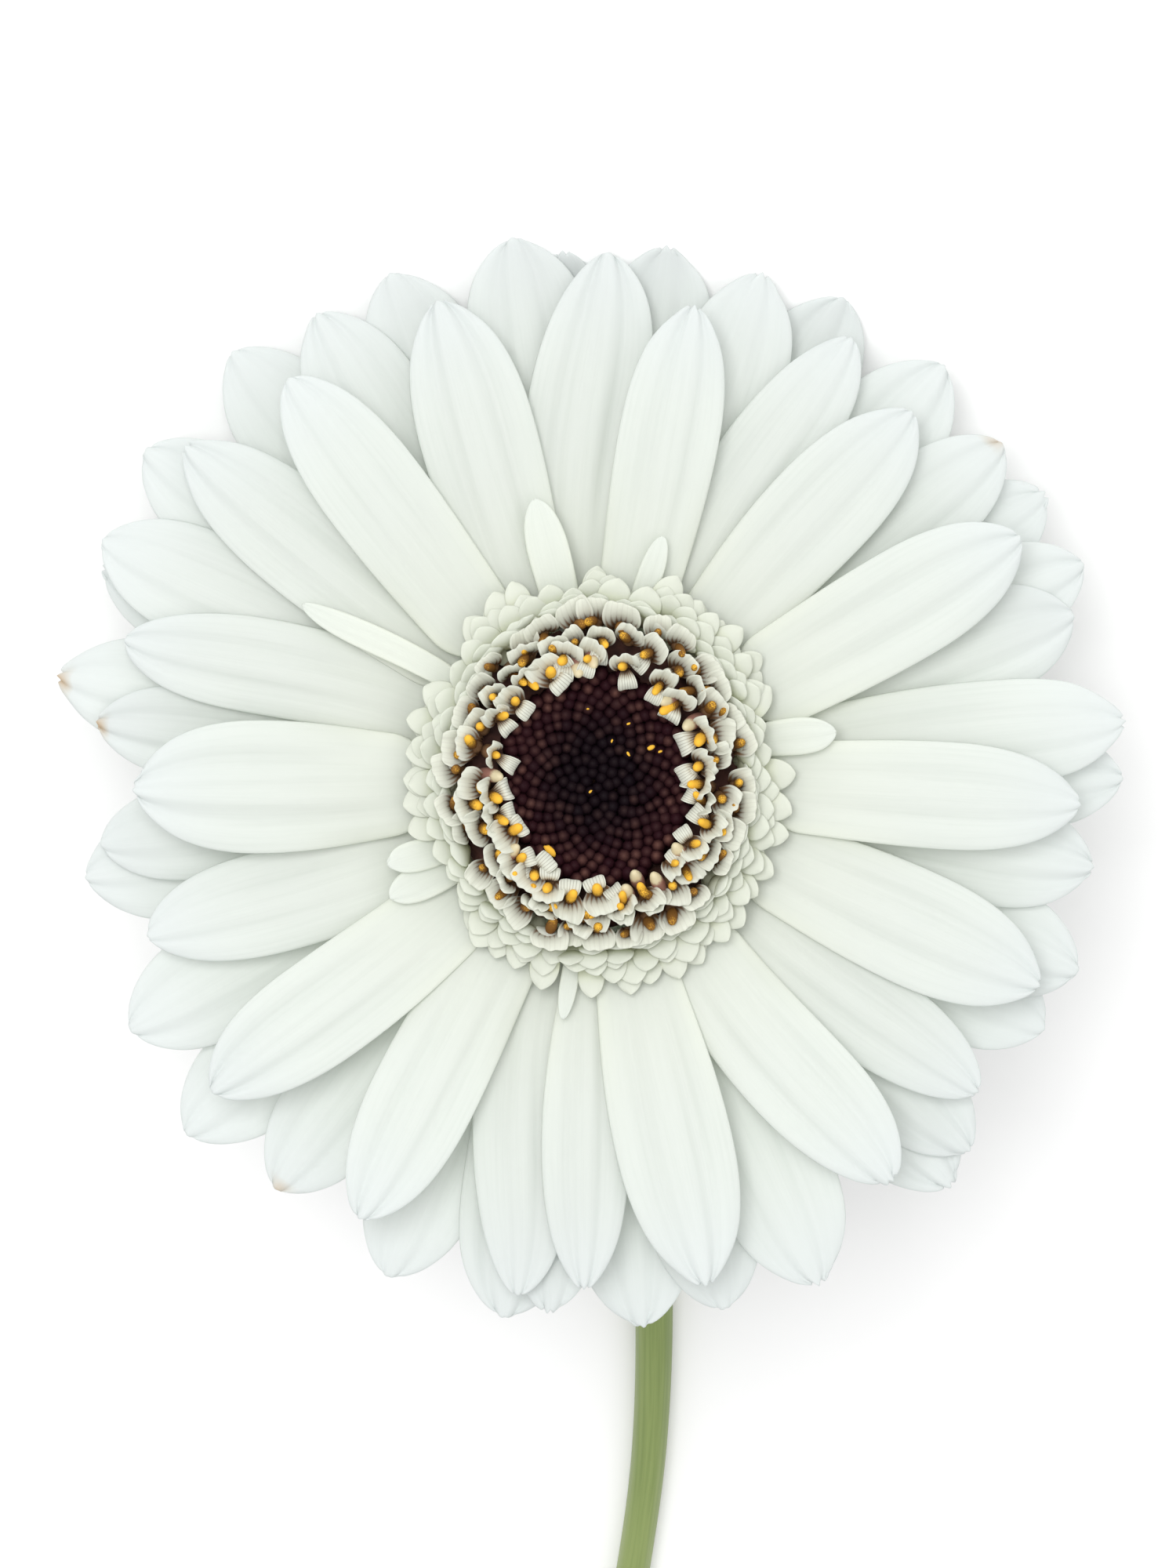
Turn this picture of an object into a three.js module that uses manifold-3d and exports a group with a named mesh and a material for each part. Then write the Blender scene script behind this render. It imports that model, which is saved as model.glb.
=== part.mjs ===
// A mini gerbera, cut and lying down: the stem lies along the surface and the head leans on its lowest petals.
// Millimetres, +Z up. The stem runs towards -Y, and the origin is at the bottom centre of the whole flower's box.

import * as THREE from "three";
import { mergeVertices } from "three/addons/utils/BufferGeometryUtils.js";
import Module from "manifold-3d";

const wasm = await Module();
wasm.setup();

// Driving dimensions of the pose
const HEAD_TILT = THREE.MathUtils.degToRad(32); // how far the face leans from straight up, towards +Y
const NECK_HEIGHT = -12; // in the head, where the receptacle has narrowed to the stem and the neck's bend begins
const BEND_LENGTH = 18; // length of the bend, after which the stem lies along the surface
const PRESS_HEIGHT = 3.2; // the surface bends up the petals that would pass through it, from this height down

// Driving dimensions of the petals
const STATIONS = 10; // steps along a petal
const PETAL_THICKNESS = 0.46;
const CLAW_WIDTH = 0.2; // share of the full width at the narrow foot of a petal
const TIP_WIDTH = 0.17; // share of the full width at the blunt tip
const WIDEST = 0.6; // where along its length a petal is widest
const SWELL = 1.35; // how late a petal widens from its foot
const FRONT_TIP = 2.4; // roundness of the tips, a higher number being rounder
const BACK_TIP = 3.2;
const TOP_RANK = 5; // petals lie in ranks from 0, the rearmost, to this one
const TOP_FOOT_HEIGHT = -0.5; // height of the feet of the top rank in the head
const FOOT_SPACING = 0.75; // between the feet of two ranks
const TIP_SPACING = 1.2; // between the tips of two ranks
const RISE_SLOPE = 0.3; // slope of a petal where it leaves the receptacle
const FALL_SLOPE = -0.12; // slope at its tip
const ARCH_LENGTH = 27; // length of the petal that these slopes belong to
const TIP_WANDER = 0.2; // how far single tips stand above or below their rank

// Driving dimensions of the receptacle and the disc, each profile as radius and height in the head
const SEAT_GAP = 0.3; // clearance between pieces that grow from one another
const FLANK_TOP = { radius: 10.6, height: -0.2 };
const FLANK_FOOT = { radius: 9.6, height: -4.6 };
const TURNS = 48; // segments round every turned piece

// Driving dimensions of the stem
const STEM_SIDES = 12;
const STEM_STEPS = 64;
const STEM_START = -9; // in the head: the stem's bar begins inside the receptacle
const BEND_STEPS = 4; // points on the stem's middle line round the bend
const BEND_SIDE_STEP = 1.2; // how far the line has moved to the side where the bend ends
// Distance below the neck, and diameter there
const STEM_THICKNESS = [
  [0, 4.2],
  [25, 3.4],
  [52, 2.95],
  [80, 2.65],
  [130, 3.1],
  [250, 4.4],
];
// The lying stretch: its side step and its place along the surface, from the end of the bend to the cut
const STEM_ROUTE = [
  [2.6, -38],
  [4.3, -54],
  [4.3, -72],
  [3.0, -86],
  [-1.0, -112],
  [-6.0, -145],
  [-9.5, -180],
  [-10.5, -212],
  [-9.5, -238],
];

// Front petals: direction of the foot and of the tip in degrees, reach, width, rank.
// Directions turn from the head's +X towards its +Y.
const FRONT_PETALS = [
  [96.7, 88.9, 36.8, 8.5, 3],
  [110.7, 108.5, 35.1, 8.3, 4],
  [128.4, 127.8, 35.2, 7.4, 5],
  [141.6, 141.2, 37.0, 7.7, 3],
  [158.0, 163.6, 34.5, 6.9, 3],
  [182.0, 181.3, 32.3, 9.4, 5],
  [203.6, 199.5, 33.4, 7.4, 3],
  [222.2, 219.2, 34.7, 7.6, 5],
  [240.5, 241.7, 34.9, 7.5, 5],
  [252.4, 261.2, 36.7, 6.9, 3],
  [267.4, 268.5, 35.7, 6.2, 4],
  [281.2, 282.1, 36.1, 8.3, 5],
  [300.0, 306.0, 34.8, 7.7, 5],
  [316.6, 320.3, 34.6, 6.9, 3],
  [334.5, 334.8, 34.1, 8.3, 4],
  [357.3, 356.9, 33.7, 7.6, 5],
  [29.0, 29.6, 33.9, 8.0, 5],
  [51.6, 49.3, 33.7, 7.7, 4],
  [65.7, 60.0, 35.6, 6.9, 3],
  [77.8, 78.4, 33.5, 7.1, 5],
];

// Back petals, in the same columns
const BACK_PETALS = [
  [0.5, 0.0, 37.0, 7.8, 1],
  [7.0, 6.1, 37.1, 7.6, 3],
  [18.5, 19.0, 35.4, 8.2, 2],
  [24.5, 23.8, 37.4, 7.9, 1],
  [33.0, 32.3, 37.4, 8.0, 0],
  [40.5, 39.5, 36.9, 7.6, 2],
  [50.5, 50.0, 37.9, 8.8, 1],
  [62.0, 63.2, 38.6, 8.4, 0],
  [71.5, 71.8, 37.2, 8.2, 2],
  [83.5, 82.7, 38.6, 8.6, 1],
  [98.0, 98.7, 38.8, 9.2, 2],
  [111.5, 112.2, 38.5, 8.6, 1],
  [121.5, 121.2, 38.1, 8.3, 2],
  [131.0, 130.6, 39.6, 8.8, 0],
  [144.5, 144.1, 39.3, 8.4, 1],
  [153.5, 154.3, 38.6, 8.2, 2],
  [158.0, 156.9, 37.9, 7.4, 0],
  [168.5, 169.3, 38.6, 8.2, 1],
  [174.5, 173.6, 35.4, 6.8, 2],
  [187.0, 187.5, 35.3, 7.2, 1],
  [191.5, 191.0, 36.8, 8.8, 0],
  [207.0, 208.3, 37.4, 8.6, 1],
  [221.0, 220.9, 38.4, 8.6, 0],
  [231.5, 232.0, 36.8, 8.2, 1],
  [247.0, 247.2, 38.2, 8.4, 0],
  [259.5, 260.2, 38.6, 9.0, 1],
  [265.5, 264.8, 37.7, 7.0, 2],
  [274.0, 274.7, 38.9, 9.0, 0],
  [284.0, 283.5, 38.5, 8.4, 1],
  [293.5, 293.7, 38.8, 9.0, 2],
  [309.5, 311.0, 38.1, 8.5, 0],
  [315.5, 314.9, 37.1, 7.8, 1],
  [331.5, 330.5, 36.2, 8.5, 0],
  [338.5, 338.0, 36.5, 8.4, 1],
  [350.0, 349.7, 35.4, 8.2, 2],
];

// Profiles of the turned pieces, as radius and height in the head
const RECEPTACLE_PROFILE = [
  [0, -12.3],
  [2.3, -11.6],
  [3.6, -9.6],
  [7.0, -7.0],
  [FLANK_FOOT.radius, FLANK_FOOT.height],
  [FLANK_TOP.radius, FLANK_TOP.height],
  [10.3, 0.2],
  [7.0, 0.35],
  [0, 0.45],
];
const BRACT_CUP_PROFILE = [
  [2.65, -11.8],
  [2.75, -12.7],
  [3.3, -12.8],
  [5.2, -11.6],
  [8.7, -9.2],
  [12.3, -6.7],
  [15.2, -4.85],
  [15.8, -4.1],
  [15.4, -3.75],
  [13.0, -4.2],
  [10.0, -4.95],
  [7.3, -7.3],
  [3.95, -9.8],
  [2.65, -11.8],
];
const TRANS_FLORETS_PROFILE = [
  [9.65, 0.7],
  [11.6, 0.7],
  [13.8, 1.5],
  [14.2, 2.2],
  [13.7, 3.3],
  [12.4, 4.4],
  [11.2, 4.8],
  [10.85, 4.5],
  [9.65, 0.7],
];
const OPEN_FLORETS_PROFILE = [
  [6.6, 0.8],
  [9.3, 0.75],
  [10.5, 4.5],
  [10.3, 5.4],
  [9.0, 5.9],
  [7.7, 5.8],
  [7.1, 5.2],
  [7.05, 4.2],
  [6.6, 0.8],
];
const CLOSED_FLORETS_PROFILE = [
  [0, 0.85],
  [6.2, 0.8],
  [6.7, 3.9],
  [6.1, 4.2],
  [3.4, 3.8],
  [0, 3.5],
];

// Materials
const petalMaterial = new THREE.MeshStandardMaterial({ color: 0xeef3ee, roughness: 0.6 });
const stemMaterial = new THREE.MeshStandardMaterial({ color: 0x8c9e5f, roughness: 0.6 });
const bractMaterial = new THREE.MeshStandardMaterial({ color: 0x6f8a4a, roughness: 0.65 });
const transMaterial = new THREE.MeshStandardMaterial({ color: 0xd6dccd, roughness: 0.6 });
const openMaterial = new THREE.MeshStandardMaterial({ color: 0xc9a65a, roughness: 0.6 });
const closedMaterial = new THREE.MeshStandardMaterial({ color: 0x23080f, roughness: 0.5 });

// The stem lies on the surface below the bend, and that sets the height of the head above it.
const BEND_ANGLE = Math.PI / 2 - HEAD_TILT;
const BEND_RADIUS = BEND_LENGTH / BEND_ANGLE;
const BEND_DROP = BEND_RADIUS * (1 - Math.cos(BEND_ANGLE));
const HEAD_HEIGHT = stemRadius(BEND_LENGTH) + BEND_DROP - NECK_HEIGHT * Math.cos(HEAD_TILT);

// The flower is laid out with the head's centre over the world's origin, and moved to its box at the end.
const flower = new THREE.Group();
const head = new THREE.Group();
head.rotation.x = -HEAD_TILT;
head.position.z = HEAD_HEIGHT;
flower.add(head);
flower.updateMatrixWorld(true);
const headToWorld = head.matrixWorld.clone();
const worldToHead = headToWorld.clone().invert();

// Leaves only the corners, with shared ones merged, so that the surface is closed.
function closed(geometry) {
  geometry.deleteAttribute("normal");
  geometry.deleteAttribute("uv");
  return mergeVertices(geometry, 1e-4);
}

// Moves every corner of a geometry through a function of its place.
function reshape(geometry, place) {
  const corners = geometry.getAttribute("position");
  const point = new THREE.Vector3();
  for (let i = 0; i < corners.count; i += 1) {
    point.fromBufferAttribute(corners, i);
    place(point);
    corners.setXYZ(i, point.x, point.y, point.z);
  }
  return geometry;
}

function addMesh(parent, name, geometry, material) {
  geometry.computeVertexNormals();
  const mesh = new THREE.Mesh(geometry, material);
  mesh.name = name;
  parent.add(mesh);
}

// Half of a petal's width at share s of its length, as a share of its full half width.
function petalOutline(s, roundness) {
  if (s < WIDEST) {
    const swell = Math.sin((0.5 * Math.PI * s) / WIDEST) ** SWELL;
    return THREE.MathUtils.lerp(CLAW_WIDTH, 1, swell);
  }
  const toTip = (s - WIDEST) / (1 - WIDEST);
  return THREE.MathUtils.lerp(TIP_WIDTH, 1, (1 - toTip ** roundness) ** 0.75);
}

// Height of a petal's middle in the head: every rank follows one arch, and the ranks fan out towards the tips.
function petalHeight(rank, s) {
  const rise = RISE_SLOPE * ARCH_LENGTH;
  const fall = (RISE_SLOPE - FALL_SLOPE) * ARCH_LENGTH * 0.5;
  const spacing = THREE.MathUtils.lerp(FOOT_SPACING, TIP_SPACING, s);
  const fan = (TIP_SPACING - FOOT_SPACING) * 0.5 * TOP_RANK * s;
  return TOP_FOOT_HEIGHT + rise * s - fall * s * s - (TOP_RANK - rank) * spacing + fan;
}

// Where a petal's foot stands off the receptacle's slanted flank.
function footRadius(rank) {
  const height = petalHeight(rank, 0);
  const down = (FLANK_TOP.height - height) / (FLANK_TOP.height - FLANK_FOOT.height);
  return THREE.MathUtils.lerp(FLANK_TOP.radius, FLANK_FOOT.radius, down) + SEAT_GAP;
}

// A petal is a flat blank with a grid of corners, bent into its outline and its arch in the head's frame.
function petalGeometry([footDegrees, tipDegrees, reach, width, rank], order, roundness) {
  const blank = new THREE.BoxGeometry(STATIONS, 2, 1, STATIONS, 2, 1);
  const foot = footRadius(rank);
  const wander = TIP_WANDER * Math.sin(2.4 * order);
  reshape(blank, (point) => {
    const step = (point.x + STATIONS / 2) / STATIONS;
    const s = 1 - (1 - step) ** 1.3;
    const across = point.y;
    const side = point.z * 2;
    const turn = THREE.MathUtils.smoothstep(s, 0, 1);
    const direction = THREE.MathUtils.degToRad(THREE.MathUtils.lerp(footDegrees, tipDegrees, turn));
    const radius = THREE.MathUtils.lerp(foot, reach, s);
    const out = across * 0.5 * width * petalOutline(s, roundness);
    const half = 0.5 * PETAL_THICKNESS * (1 - 0.3 * s) * (1 - 0.35 * across * across);
    point.set(
      radius * Math.cos(direction) - out * Math.sin(direction),
      radius * Math.sin(direction) + out * Math.cos(direction),
      petalHeight(rank, s) + wander * s * s + side * half,
    );
  });
  return closed(blank);
}

// A petal that would pass through the surface bends up until its lowest corner rests on it: its heights from that
// corner to PRESS_HEIGHT are squeezed smoothly into the space above the surface.
function pressOnSurface(geometry) {
  const placed = geometry.clone().applyMatrix4(headToWorld);
  placed.computeBoundingBox();
  const lowest = Math.min(placed.boundingBox.min.z, 0);
  const deepest = PRESS_HEIGHT - lowest;
  const squeeze = -lowest / (deepest * deepest);
  return reshape(geometry, (point) => {
    point.applyMatrix4(headToWorld);
    const depth = PRESS_HEIGHT - point.z;
    if (depth > 0) {
      point.z += squeeze * depth * depth;
    }
    point.applyMatrix4(worldToHead);
  });
}

function addPetals() {
  const rows = [
    ["front_petal", FRONT_PETALS, FRONT_TIP],
    ["back_petal", BACK_PETALS, BACK_TIP],
  ];
  for (const [name, table, roundness] of rows) {
    table.forEach((row, order) => {
      const number = String(order + 1).padStart(2, "0");
      const petal = pressOnSurface(petalGeometry(row, order, roundness));
      addMesh(head, `${name}_${number}`, petal, petalMaterial);
    });
  }
}

// A turned piece in the head's frame.
function turned(profile) {
  const points = profile.map(([radius, height]) => new THREE.Vector2(radius, height));
  const lathe = new THREE.LatheGeometry(points, TURNS);
  lathe.rotateX(Math.PI / 2);
  return closed(lathe);
}

// Radius of the stem at a distance below the neck.
function stemRadius(distance) {
  const last = STEM_THICKNESS.length - 1;
  const next = STEM_THICKNESS.findIndex(([place]) => place > distance);
  const b = next < 0 ? last : Math.max(next, 1);
  const [placeA, sizeA] = STEM_THICKNESS[b - 1];
  const [placeB, sizeB] = STEM_THICKNESS[b];
  const share = THREE.MathUtils.clamp((distance - placeA) / (placeB - placeA), 0, 1);
  return 0.5 * THREE.MathUtils.lerp(sizeA, sizeB, THREE.MathUtils.smoothstep(share, 0, 1));
}

// The stem's middle line: down the head's axis, round the neck, and along the surface to the cut.
function stemLine() {
  const start = new THREE.Vector3(0, 0, STEM_START).applyMatrix4(headToWorld);
  const neck = new THREE.Vector3(0, 0, NECK_HEIGHT).applyMatrix4(headToWorld);
  const points = [start, neck];
  for (let i = 1; i <= BEND_STEPS; i += 1) {
    const left = BEND_ANGLE * (1 - i / BEND_STEPS);
    const along = BEND_RADIUS * (Math.sin(BEND_ANGLE) - Math.sin(left));
    const down = BEND_RADIUS * (Math.cos(left) - Math.cos(BEND_ANGLE));
    points.push(new THREE.Vector3((BEND_SIDE_STEP * i) / BEND_STEPS, neck.y - along, neck.z - down));
  }
  let distance = BEND_LENGTH;
  let last = points[points.length - 1];
  for (const [sideways, place] of STEM_ROUTE) {
    const next = new THREE.Vector3(sideways, place, 0);
    distance += Math.hypot(next.x - last.x, next.y - last.y);
    next.z = stemRadius(distance);
    points.push(next);
    last = next;
  }
  return new THREE.CatmullRomCurve3(points, false, "centripetal");
}

// The stem is a round bar bent along its middle line, with its thickness following the distance from the neck.
function stemGeometry() {
  const line = stemLine();
  const length = line.getLength();
  const frames = line.computeFrenetFrames(STEM_STEPS, false);
  const bar = new THREE.CylinderGeometry(1, 1, 1, STEM_SIDES, STEM_STEPS);
  const beforeNeck = STEM_START - NECK_HEIGHT;
  reshape(bar, (point) => {
    const share = 0.5 - point.y;
    const step = Math.round(share * STEM_STEPS);
    const radius = stemRadius(share * length - beforeNeck);
    const x = point.x * radius;
    const z = point.z * radius;
    point.copy(line.getPointAt(THREE.MathUtils.clamp(share, 0, 1)));
    point.addScaledVector(frames.normals[step], x);
    point.addScaledVector(frames.binormals[step], z);
    point.z = Math.max(point.z, 0);
  });
  return closed(bar);
}

function solidOf(geometry) {
  return new wasm.Manifold(
    new wasm.Mesh({
      numProp: 3,
      vertProperties: new Float32Array(geometry.getAttribute("position").array),
      triVerts: new Uint32Array(geometry.index.array),
    }),
  );
}

function geometryOf(solid) {
  const mesh = solid.getMesh();
  const geometry = new THREE.BufferGeometry();
  geometry.setAttribute("position", new THREE.BufferAttribute(mesh.vertProperties, mesh.numProp));
  geometry.setIndex(new THREE.BufferAttribute(mesh.triVerts, 1));
  return geometry;
}

// The receptacle is the widened top of the stem, so the two are one solid.
function addStem() {
  const receptacle = turned(RECEPTACLE_PROFILE).applyMatrix4(headToWorld);
  const joined = solidOf(stemGeometry()).add(solidOf(receptacle));
  addMesh(flower, "stem", geometryOf(joined), stemMaterial);
}

// The origin goes to the bottom centre of the whole flower's box.
function moveToOrigin() {
  const box = new THREE.Box3().setFromObject(flower, true);
  const centre = box.getCenter(new THREE.Vector3());
  flower.position.set(-centre.x, -centre.y, -box.min.z);
}

addStem();
addMesh(head, "bract_cup", turned(BRACT_CUP_PROFILE), bractMaterial);
addPetals();
addMesh(head, "trans_florets", turned(TRANS_FLORETS_PROFILE), transMaterial);
addMesh(head, "open_florets", turned(OPEN_FLORETS_PROFILE), openMaterial);
addMesh(head, "closed_florets", turned(CLOSED_FLORETS_PROFILE), closedMaterial);
moveToOrigin();

export default flower;
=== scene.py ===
"""A mini gerbera, cut and laid down: its looks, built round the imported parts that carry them."""

import math
import random
from functools import partial

import bmesh
import bpy
from bpy.props import FloatProperty, FloatVectorProperty, PointerProperty
from mathutils import Matrix, Vector, noise


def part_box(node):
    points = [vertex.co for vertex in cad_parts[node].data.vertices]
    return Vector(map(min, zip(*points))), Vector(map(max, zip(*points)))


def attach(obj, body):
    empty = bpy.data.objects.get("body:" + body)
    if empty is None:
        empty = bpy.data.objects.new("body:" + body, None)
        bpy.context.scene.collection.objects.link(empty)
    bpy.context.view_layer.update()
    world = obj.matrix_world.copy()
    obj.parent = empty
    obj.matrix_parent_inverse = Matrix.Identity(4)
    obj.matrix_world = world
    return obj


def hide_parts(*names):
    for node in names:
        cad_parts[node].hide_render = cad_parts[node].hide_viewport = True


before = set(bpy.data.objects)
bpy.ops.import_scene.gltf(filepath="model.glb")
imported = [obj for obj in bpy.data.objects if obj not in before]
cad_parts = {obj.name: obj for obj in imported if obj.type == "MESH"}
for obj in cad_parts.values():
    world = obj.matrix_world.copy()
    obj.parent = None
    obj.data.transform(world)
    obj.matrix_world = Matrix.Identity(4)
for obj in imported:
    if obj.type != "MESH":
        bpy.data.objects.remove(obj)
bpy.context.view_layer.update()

bl_info = {
    "name": "Mini gerbera cut flower",
    "version": (1, 0, 0),
    "blender": (4, 5, 0),
    "location": "3D View > Sidebar > Gerbera",
    "description": "Builds a white mini gerbera on its laid-down stem",
    "category": "Add Mesh",
}

MM = 0.001  # the tables and sizes below are in millimetres, as the flower is measured

# The head's own frame: its origin is on the flower's axis at the receptacle's rim, +Z is where the face looks
HEAD_TILT = math.radians(32.0)
HEAD_CENTRE = Vector((0.529, 102.893, 20.311))
HEAD_TURN = Matrix.Rotation(-HEAD_TILT, 4, "X")
HEAD = Matrix.Translation(HEAD_CENTRE) @ HEAD_TURN
TO_METRES = Matrix.Scale(MM, 4)

# The petals' shared arch, as the parts have it
TOP_RANK = 5
TOP_FOOT_HEIGHT = -0.5
FOOT_SPACING = 0.75
TIP_SPACING = 1.2
ARCH_RISE = 8.1
ARCH_FALL = 5.67
TIP_WANDER = 0.2
FLANK_TOP = (10.6, -0.2)
FLANK_FOOT = (9.6, -4.6)
SEAT_GAP = 0.3
# Below this height the petals' tips bend up, so that they rest on the floor
PRESS_HEIGHT = 3.2
# The outline of a petal, in shares of its full width and of its length
CLAW_WIDTH = 0.2
TIP_WIDTH = 0.17
WIDEST = 0.6
SWELL = 1.35
# Share of the full width that a petal would have at the rim with no foot of its own
RIM_SHARE = 0.2
# How round the ends of the petals are
FRONT_ROUNDNESS = 2.3
BACK_ROUNDNESS = 3.2
SMALL_ROUNDNESS = 2.2
# The width for which the petals' relief below is written, and how wide its grooves and the fold in its middle are
RELIEF_WIDTH = 8.0
GROOVE_SPREAD = 0.13
FOLD_SPREAD = 0.09
FOLD_SHARE = 0.35
# Where the tilt of a petal's foot starts to fade, in shares of its length
PLAIN_TILT_FADES = 0.2
CROWDED_TILT_FADES = 0.36
SMALL_TILT_FADES = 0.25

# Front petals: direction of foot and tip in degrees, reach, width, rank, width at the disc's rim
FRONT_PETALS = [
    (96.7, 88.9, 36.8, 8.5, 3, 6.0),
    (110.7, 108.5, 35.1, 8.3, 4, 6.0),
    (128.4, 127.8, 35.2, 7.4, 5, 6.2),
    (141.6, 141.2, 37.0, 7.7, 3, 5.4),
    (158.0, 163.6, 34.5, 6.9, 3, 5.8),
    (182.0, 181.3, 32.3, 9.4, 5, 7.0),
    (203.6, 199.5, 33.4, 7.4, 3, 6.0),
    (222.2, 219.2, 34.7, 7.6, 5, 6.4),
    (240.5, 241.7, 34.9, 7.5, 5, 6.0),
    (252.4, 261.2, 36.7, 6.9, 3, 5.4),
    (267.4, 268.5, 35.7, 6.2, 4, 3.6),
    (281.2, 282.1, 36.1, 8.3, 5, 5.8),
    (300.0, 306.0, 34.8, 7.7, 5, 6.0),
    (316.6, 320.3, 34.6, 6.9, 3, 5.6),
    (334.5, 334.8, 34.1, 8.3, 4, 6.4),
    (357.3, 356.9, 33.7, 7.6, 5, 6.4),
    (29.0, 29.6, 33.9, 8.0, 5, 6.8),
    (51.6, 49.3, 33.7, 7.7, 4, 6.0),
    (65.7, 60.0, 35.6, 6.9, 3, 5.4),
    (77.8, 78.4, 33.5, 7.1, 5, 5.6),
]

# Back petals, in the same columns but for the last, which is half of the width
BACK_PETALS = [
    (0.5, 0.0, 37.0, 7.8, 1),
    (7.0, 6.1, 37.1, 7.6, 3),
    (18.5, 19.0, 35.4, 8.2, 2),
    (24.5, 23.8, 37.4, 7.9, 1),
    (33.0, 32.3, 37.4, 8.0, 0),
    (40.5, 39.5, 36.9, 7.6, 2),
    (50.5, 50.0, 37.9, 8.8, 1),
    (62.0, 63.2, 38.6, 8.4, 0),
    (71.5, 71.8, 37.2, 8.2, 2),
    (83.5, 82.7, 38.6, 8.6, 1),
    (98.0, 98.7, 38.8, 9.2, 2),
    (111.5, 112.2, 38.5, 8.6, 1),
    (121.5, 121.2, 38.1, 8.3, 2),
    (131.0, 130.6, 39.6, 8.8, 0),
    (144.5, 144.1, 39.3, 8.4, 1),
    (153.5, 154.3, 38.6, 8.2, 2),
    (158.0, 156.9, 37.9, 7.4, 0),
    (168.5, 169.3, 38.6, 8.2, 1),
    (174.5, 173.6, 35.4, 6.8, 2),
    (187.0, 187.5, 35.3, 7.2, 1),
    (191.5, 191.0, 36.8, 8.8, 0),
    (207.0, 208.3, 37.4, 8.6, 1),
    (221.0, 220.9, 38.4, 8.6, 0),
    (231.5, 232.0, 36.8, 8.2, 1),
    (247.0, 247.2, 38.2, 8.4, 0),
    (259.5, 260.2, 38.6, 9.0, 1),
    (265.5, 264.8, 37.7, 7.0, 2),
    (274.0, 274.7, 38.9, 9.0, 0),
    (284.0, 283.5, 38.5, 8.4, 1),
    (293.5, 293.7, 38.8, 9.0, 2),
    (309.5, 311.0, 38.1, 8.5, 0),
    (315.5, 314.9, 37.1, 7.8, 1),
    (331.5, 330.5, 36.2, 8.5, 0),
    (338.5, 338.0, 36.5, 8.4, 1),
    (350.0, 349.7, 35.4, 8.2, 2),
]
# Hidden but for its tip, it stands in no node
HIDDEN_PETAL = (93.0, 93.5, 38.3, 8.0, 0)
BACK_FOOT_SHARE = 0.67
# How far the edges of a petal's foot bend down, and how much they tilt: of a back petal, and of a petal that goes under
# or over a neighbour of its own rank, one of the two that stand nearer than the angle
BACK_FOOT_EDGE = (0.3, 0.12)
UNDER_EDGE = (0.22, 0.26)
OVER_EDGE = (0.0, 0.26)
CROWDED_ANGLE = 23.8
# How brown the tips of a few back petals are
BROWNED_TIPS = {"ray_back_06": 0.5, "ray_back_18": 0.8, "ray_back_19": 0.9, "ray_back_24": 0.5}

# Small petals between disc and rays: direction of foot and tip, reach, width, height of the tip, rise of the arch
SMALL_PETALS = [
    (101.5, 102.5, 20.0, 3.0, 2.1, 2.4),
    (76.5, 74.9, 17.5, 1.8, 2.5, 1.6),
    (13.0, 11.0, 17.0, 2.7, 2.4, 1.6),
    (205.0, 202.6, 15.9, 2.3, 2.4, 1.6),
    (212.0, 210.1, 16.8, 2.6, 1.9, 1.0),
    (146.0, 149.6, 24.0, 2.0, 1.4, 2.4),
    (262.5, 261.9, 17.1, 1.3, 1.5, 1.2),
]
# They stand on the receptacle's rim, at this radius and height
SMALL_FOOT = (10.45, 0.4)
SMALL_FOOT_SHARE = 0.8

# The stalk's middle line and its thickness, as the parts have them: the bend below the neck, then side step and place
# along the floor, then thickness at distances from the neck
NECK_HEIGHT = -12.0
BEND_LENGTH = 18.0
BEND_STEPS = 4
BEND_SIDE_STEP = 1.2
STALK_ROUTE = [
    (2.6, -38.0),
    (4.3, -54.0),
    (4.3, -72.0),
    (3.0, -86.0),
    (-1.0, -112.0),
    (-6.0, -145.0),
    (-9.5, -180.0),
    (-10.5, -212.0),
    (-9.5, -238.0),
]
STALK_THICKNESS = [(0.0, 4.2), (25.0, 3.4), (52.0, 2.95), (80.0, 2.65), (130.0, 3.1), (250.0, 4.4)]
STALK_SIDES = 36
STALK_RIBS = 9.0
RIB_SHARE = 0.25
# Radius and height of the receptacle's outline, and of the cup that the bracts follow, from below
RECEPTACLE_PROFILE = [
    (2.3, -11.6),
    (3.6, -9.6),
    (7.0, -7.0),
    (9.6, -4.6),
    (10.6, -0.2),
    (10.3, 0.2),
    (7.0, 0.35),
    (3.0, 0.42),
]
CUP_PROFILE = [(2.2, -13.0), (4.9, -11.6), (8.7, -9.0), (12.3, -6.5), (14.8, -4.7), (15.5, -3.95)]

# Bracts in three rows, from the longest inside to the shortest outside:
# how many, share of the cup's profile at foot and tip, width, how far outside the profile
BRACT_ROWS = [
    (18, 0.1, 1.0, 4.1, -0.25),
    (16, 0.03, 0.78, 3.7, 0.1),
    (12, 0.0, 0.52, 3.2, 0.42),
]
BRACT_WALL = 0.3

# Rows of trans florets from the outermost in: how many, radius and height of the tips, length, width, lean outward
TRANS_ROWS = [
    (40, 12.5, 0.7, 1.7, 2.2, 0.35),
    (42, 13.7, 1.15, 2.9, 2.3, 0.3),
    (44, 14.3, 1.75, 3.0, 2.3, 0.24),
    (45, 13.65, 2.35, 2.8, 2.25, 0.12),
    (44, 13.0, 3.0, 2.3, 2.2, 0.0),
    (42, 12.3, 3.6, 1.7, 2.15, -0.05),
    (40, 11.6, 4.1, 1.2, 2.1, -0.05),
]
# The rows that leave room for the small petals, each with how much, in shares of the two widths
TRANS_ROOM = (0.58, 0.58, 0.4, 0.4)
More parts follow.
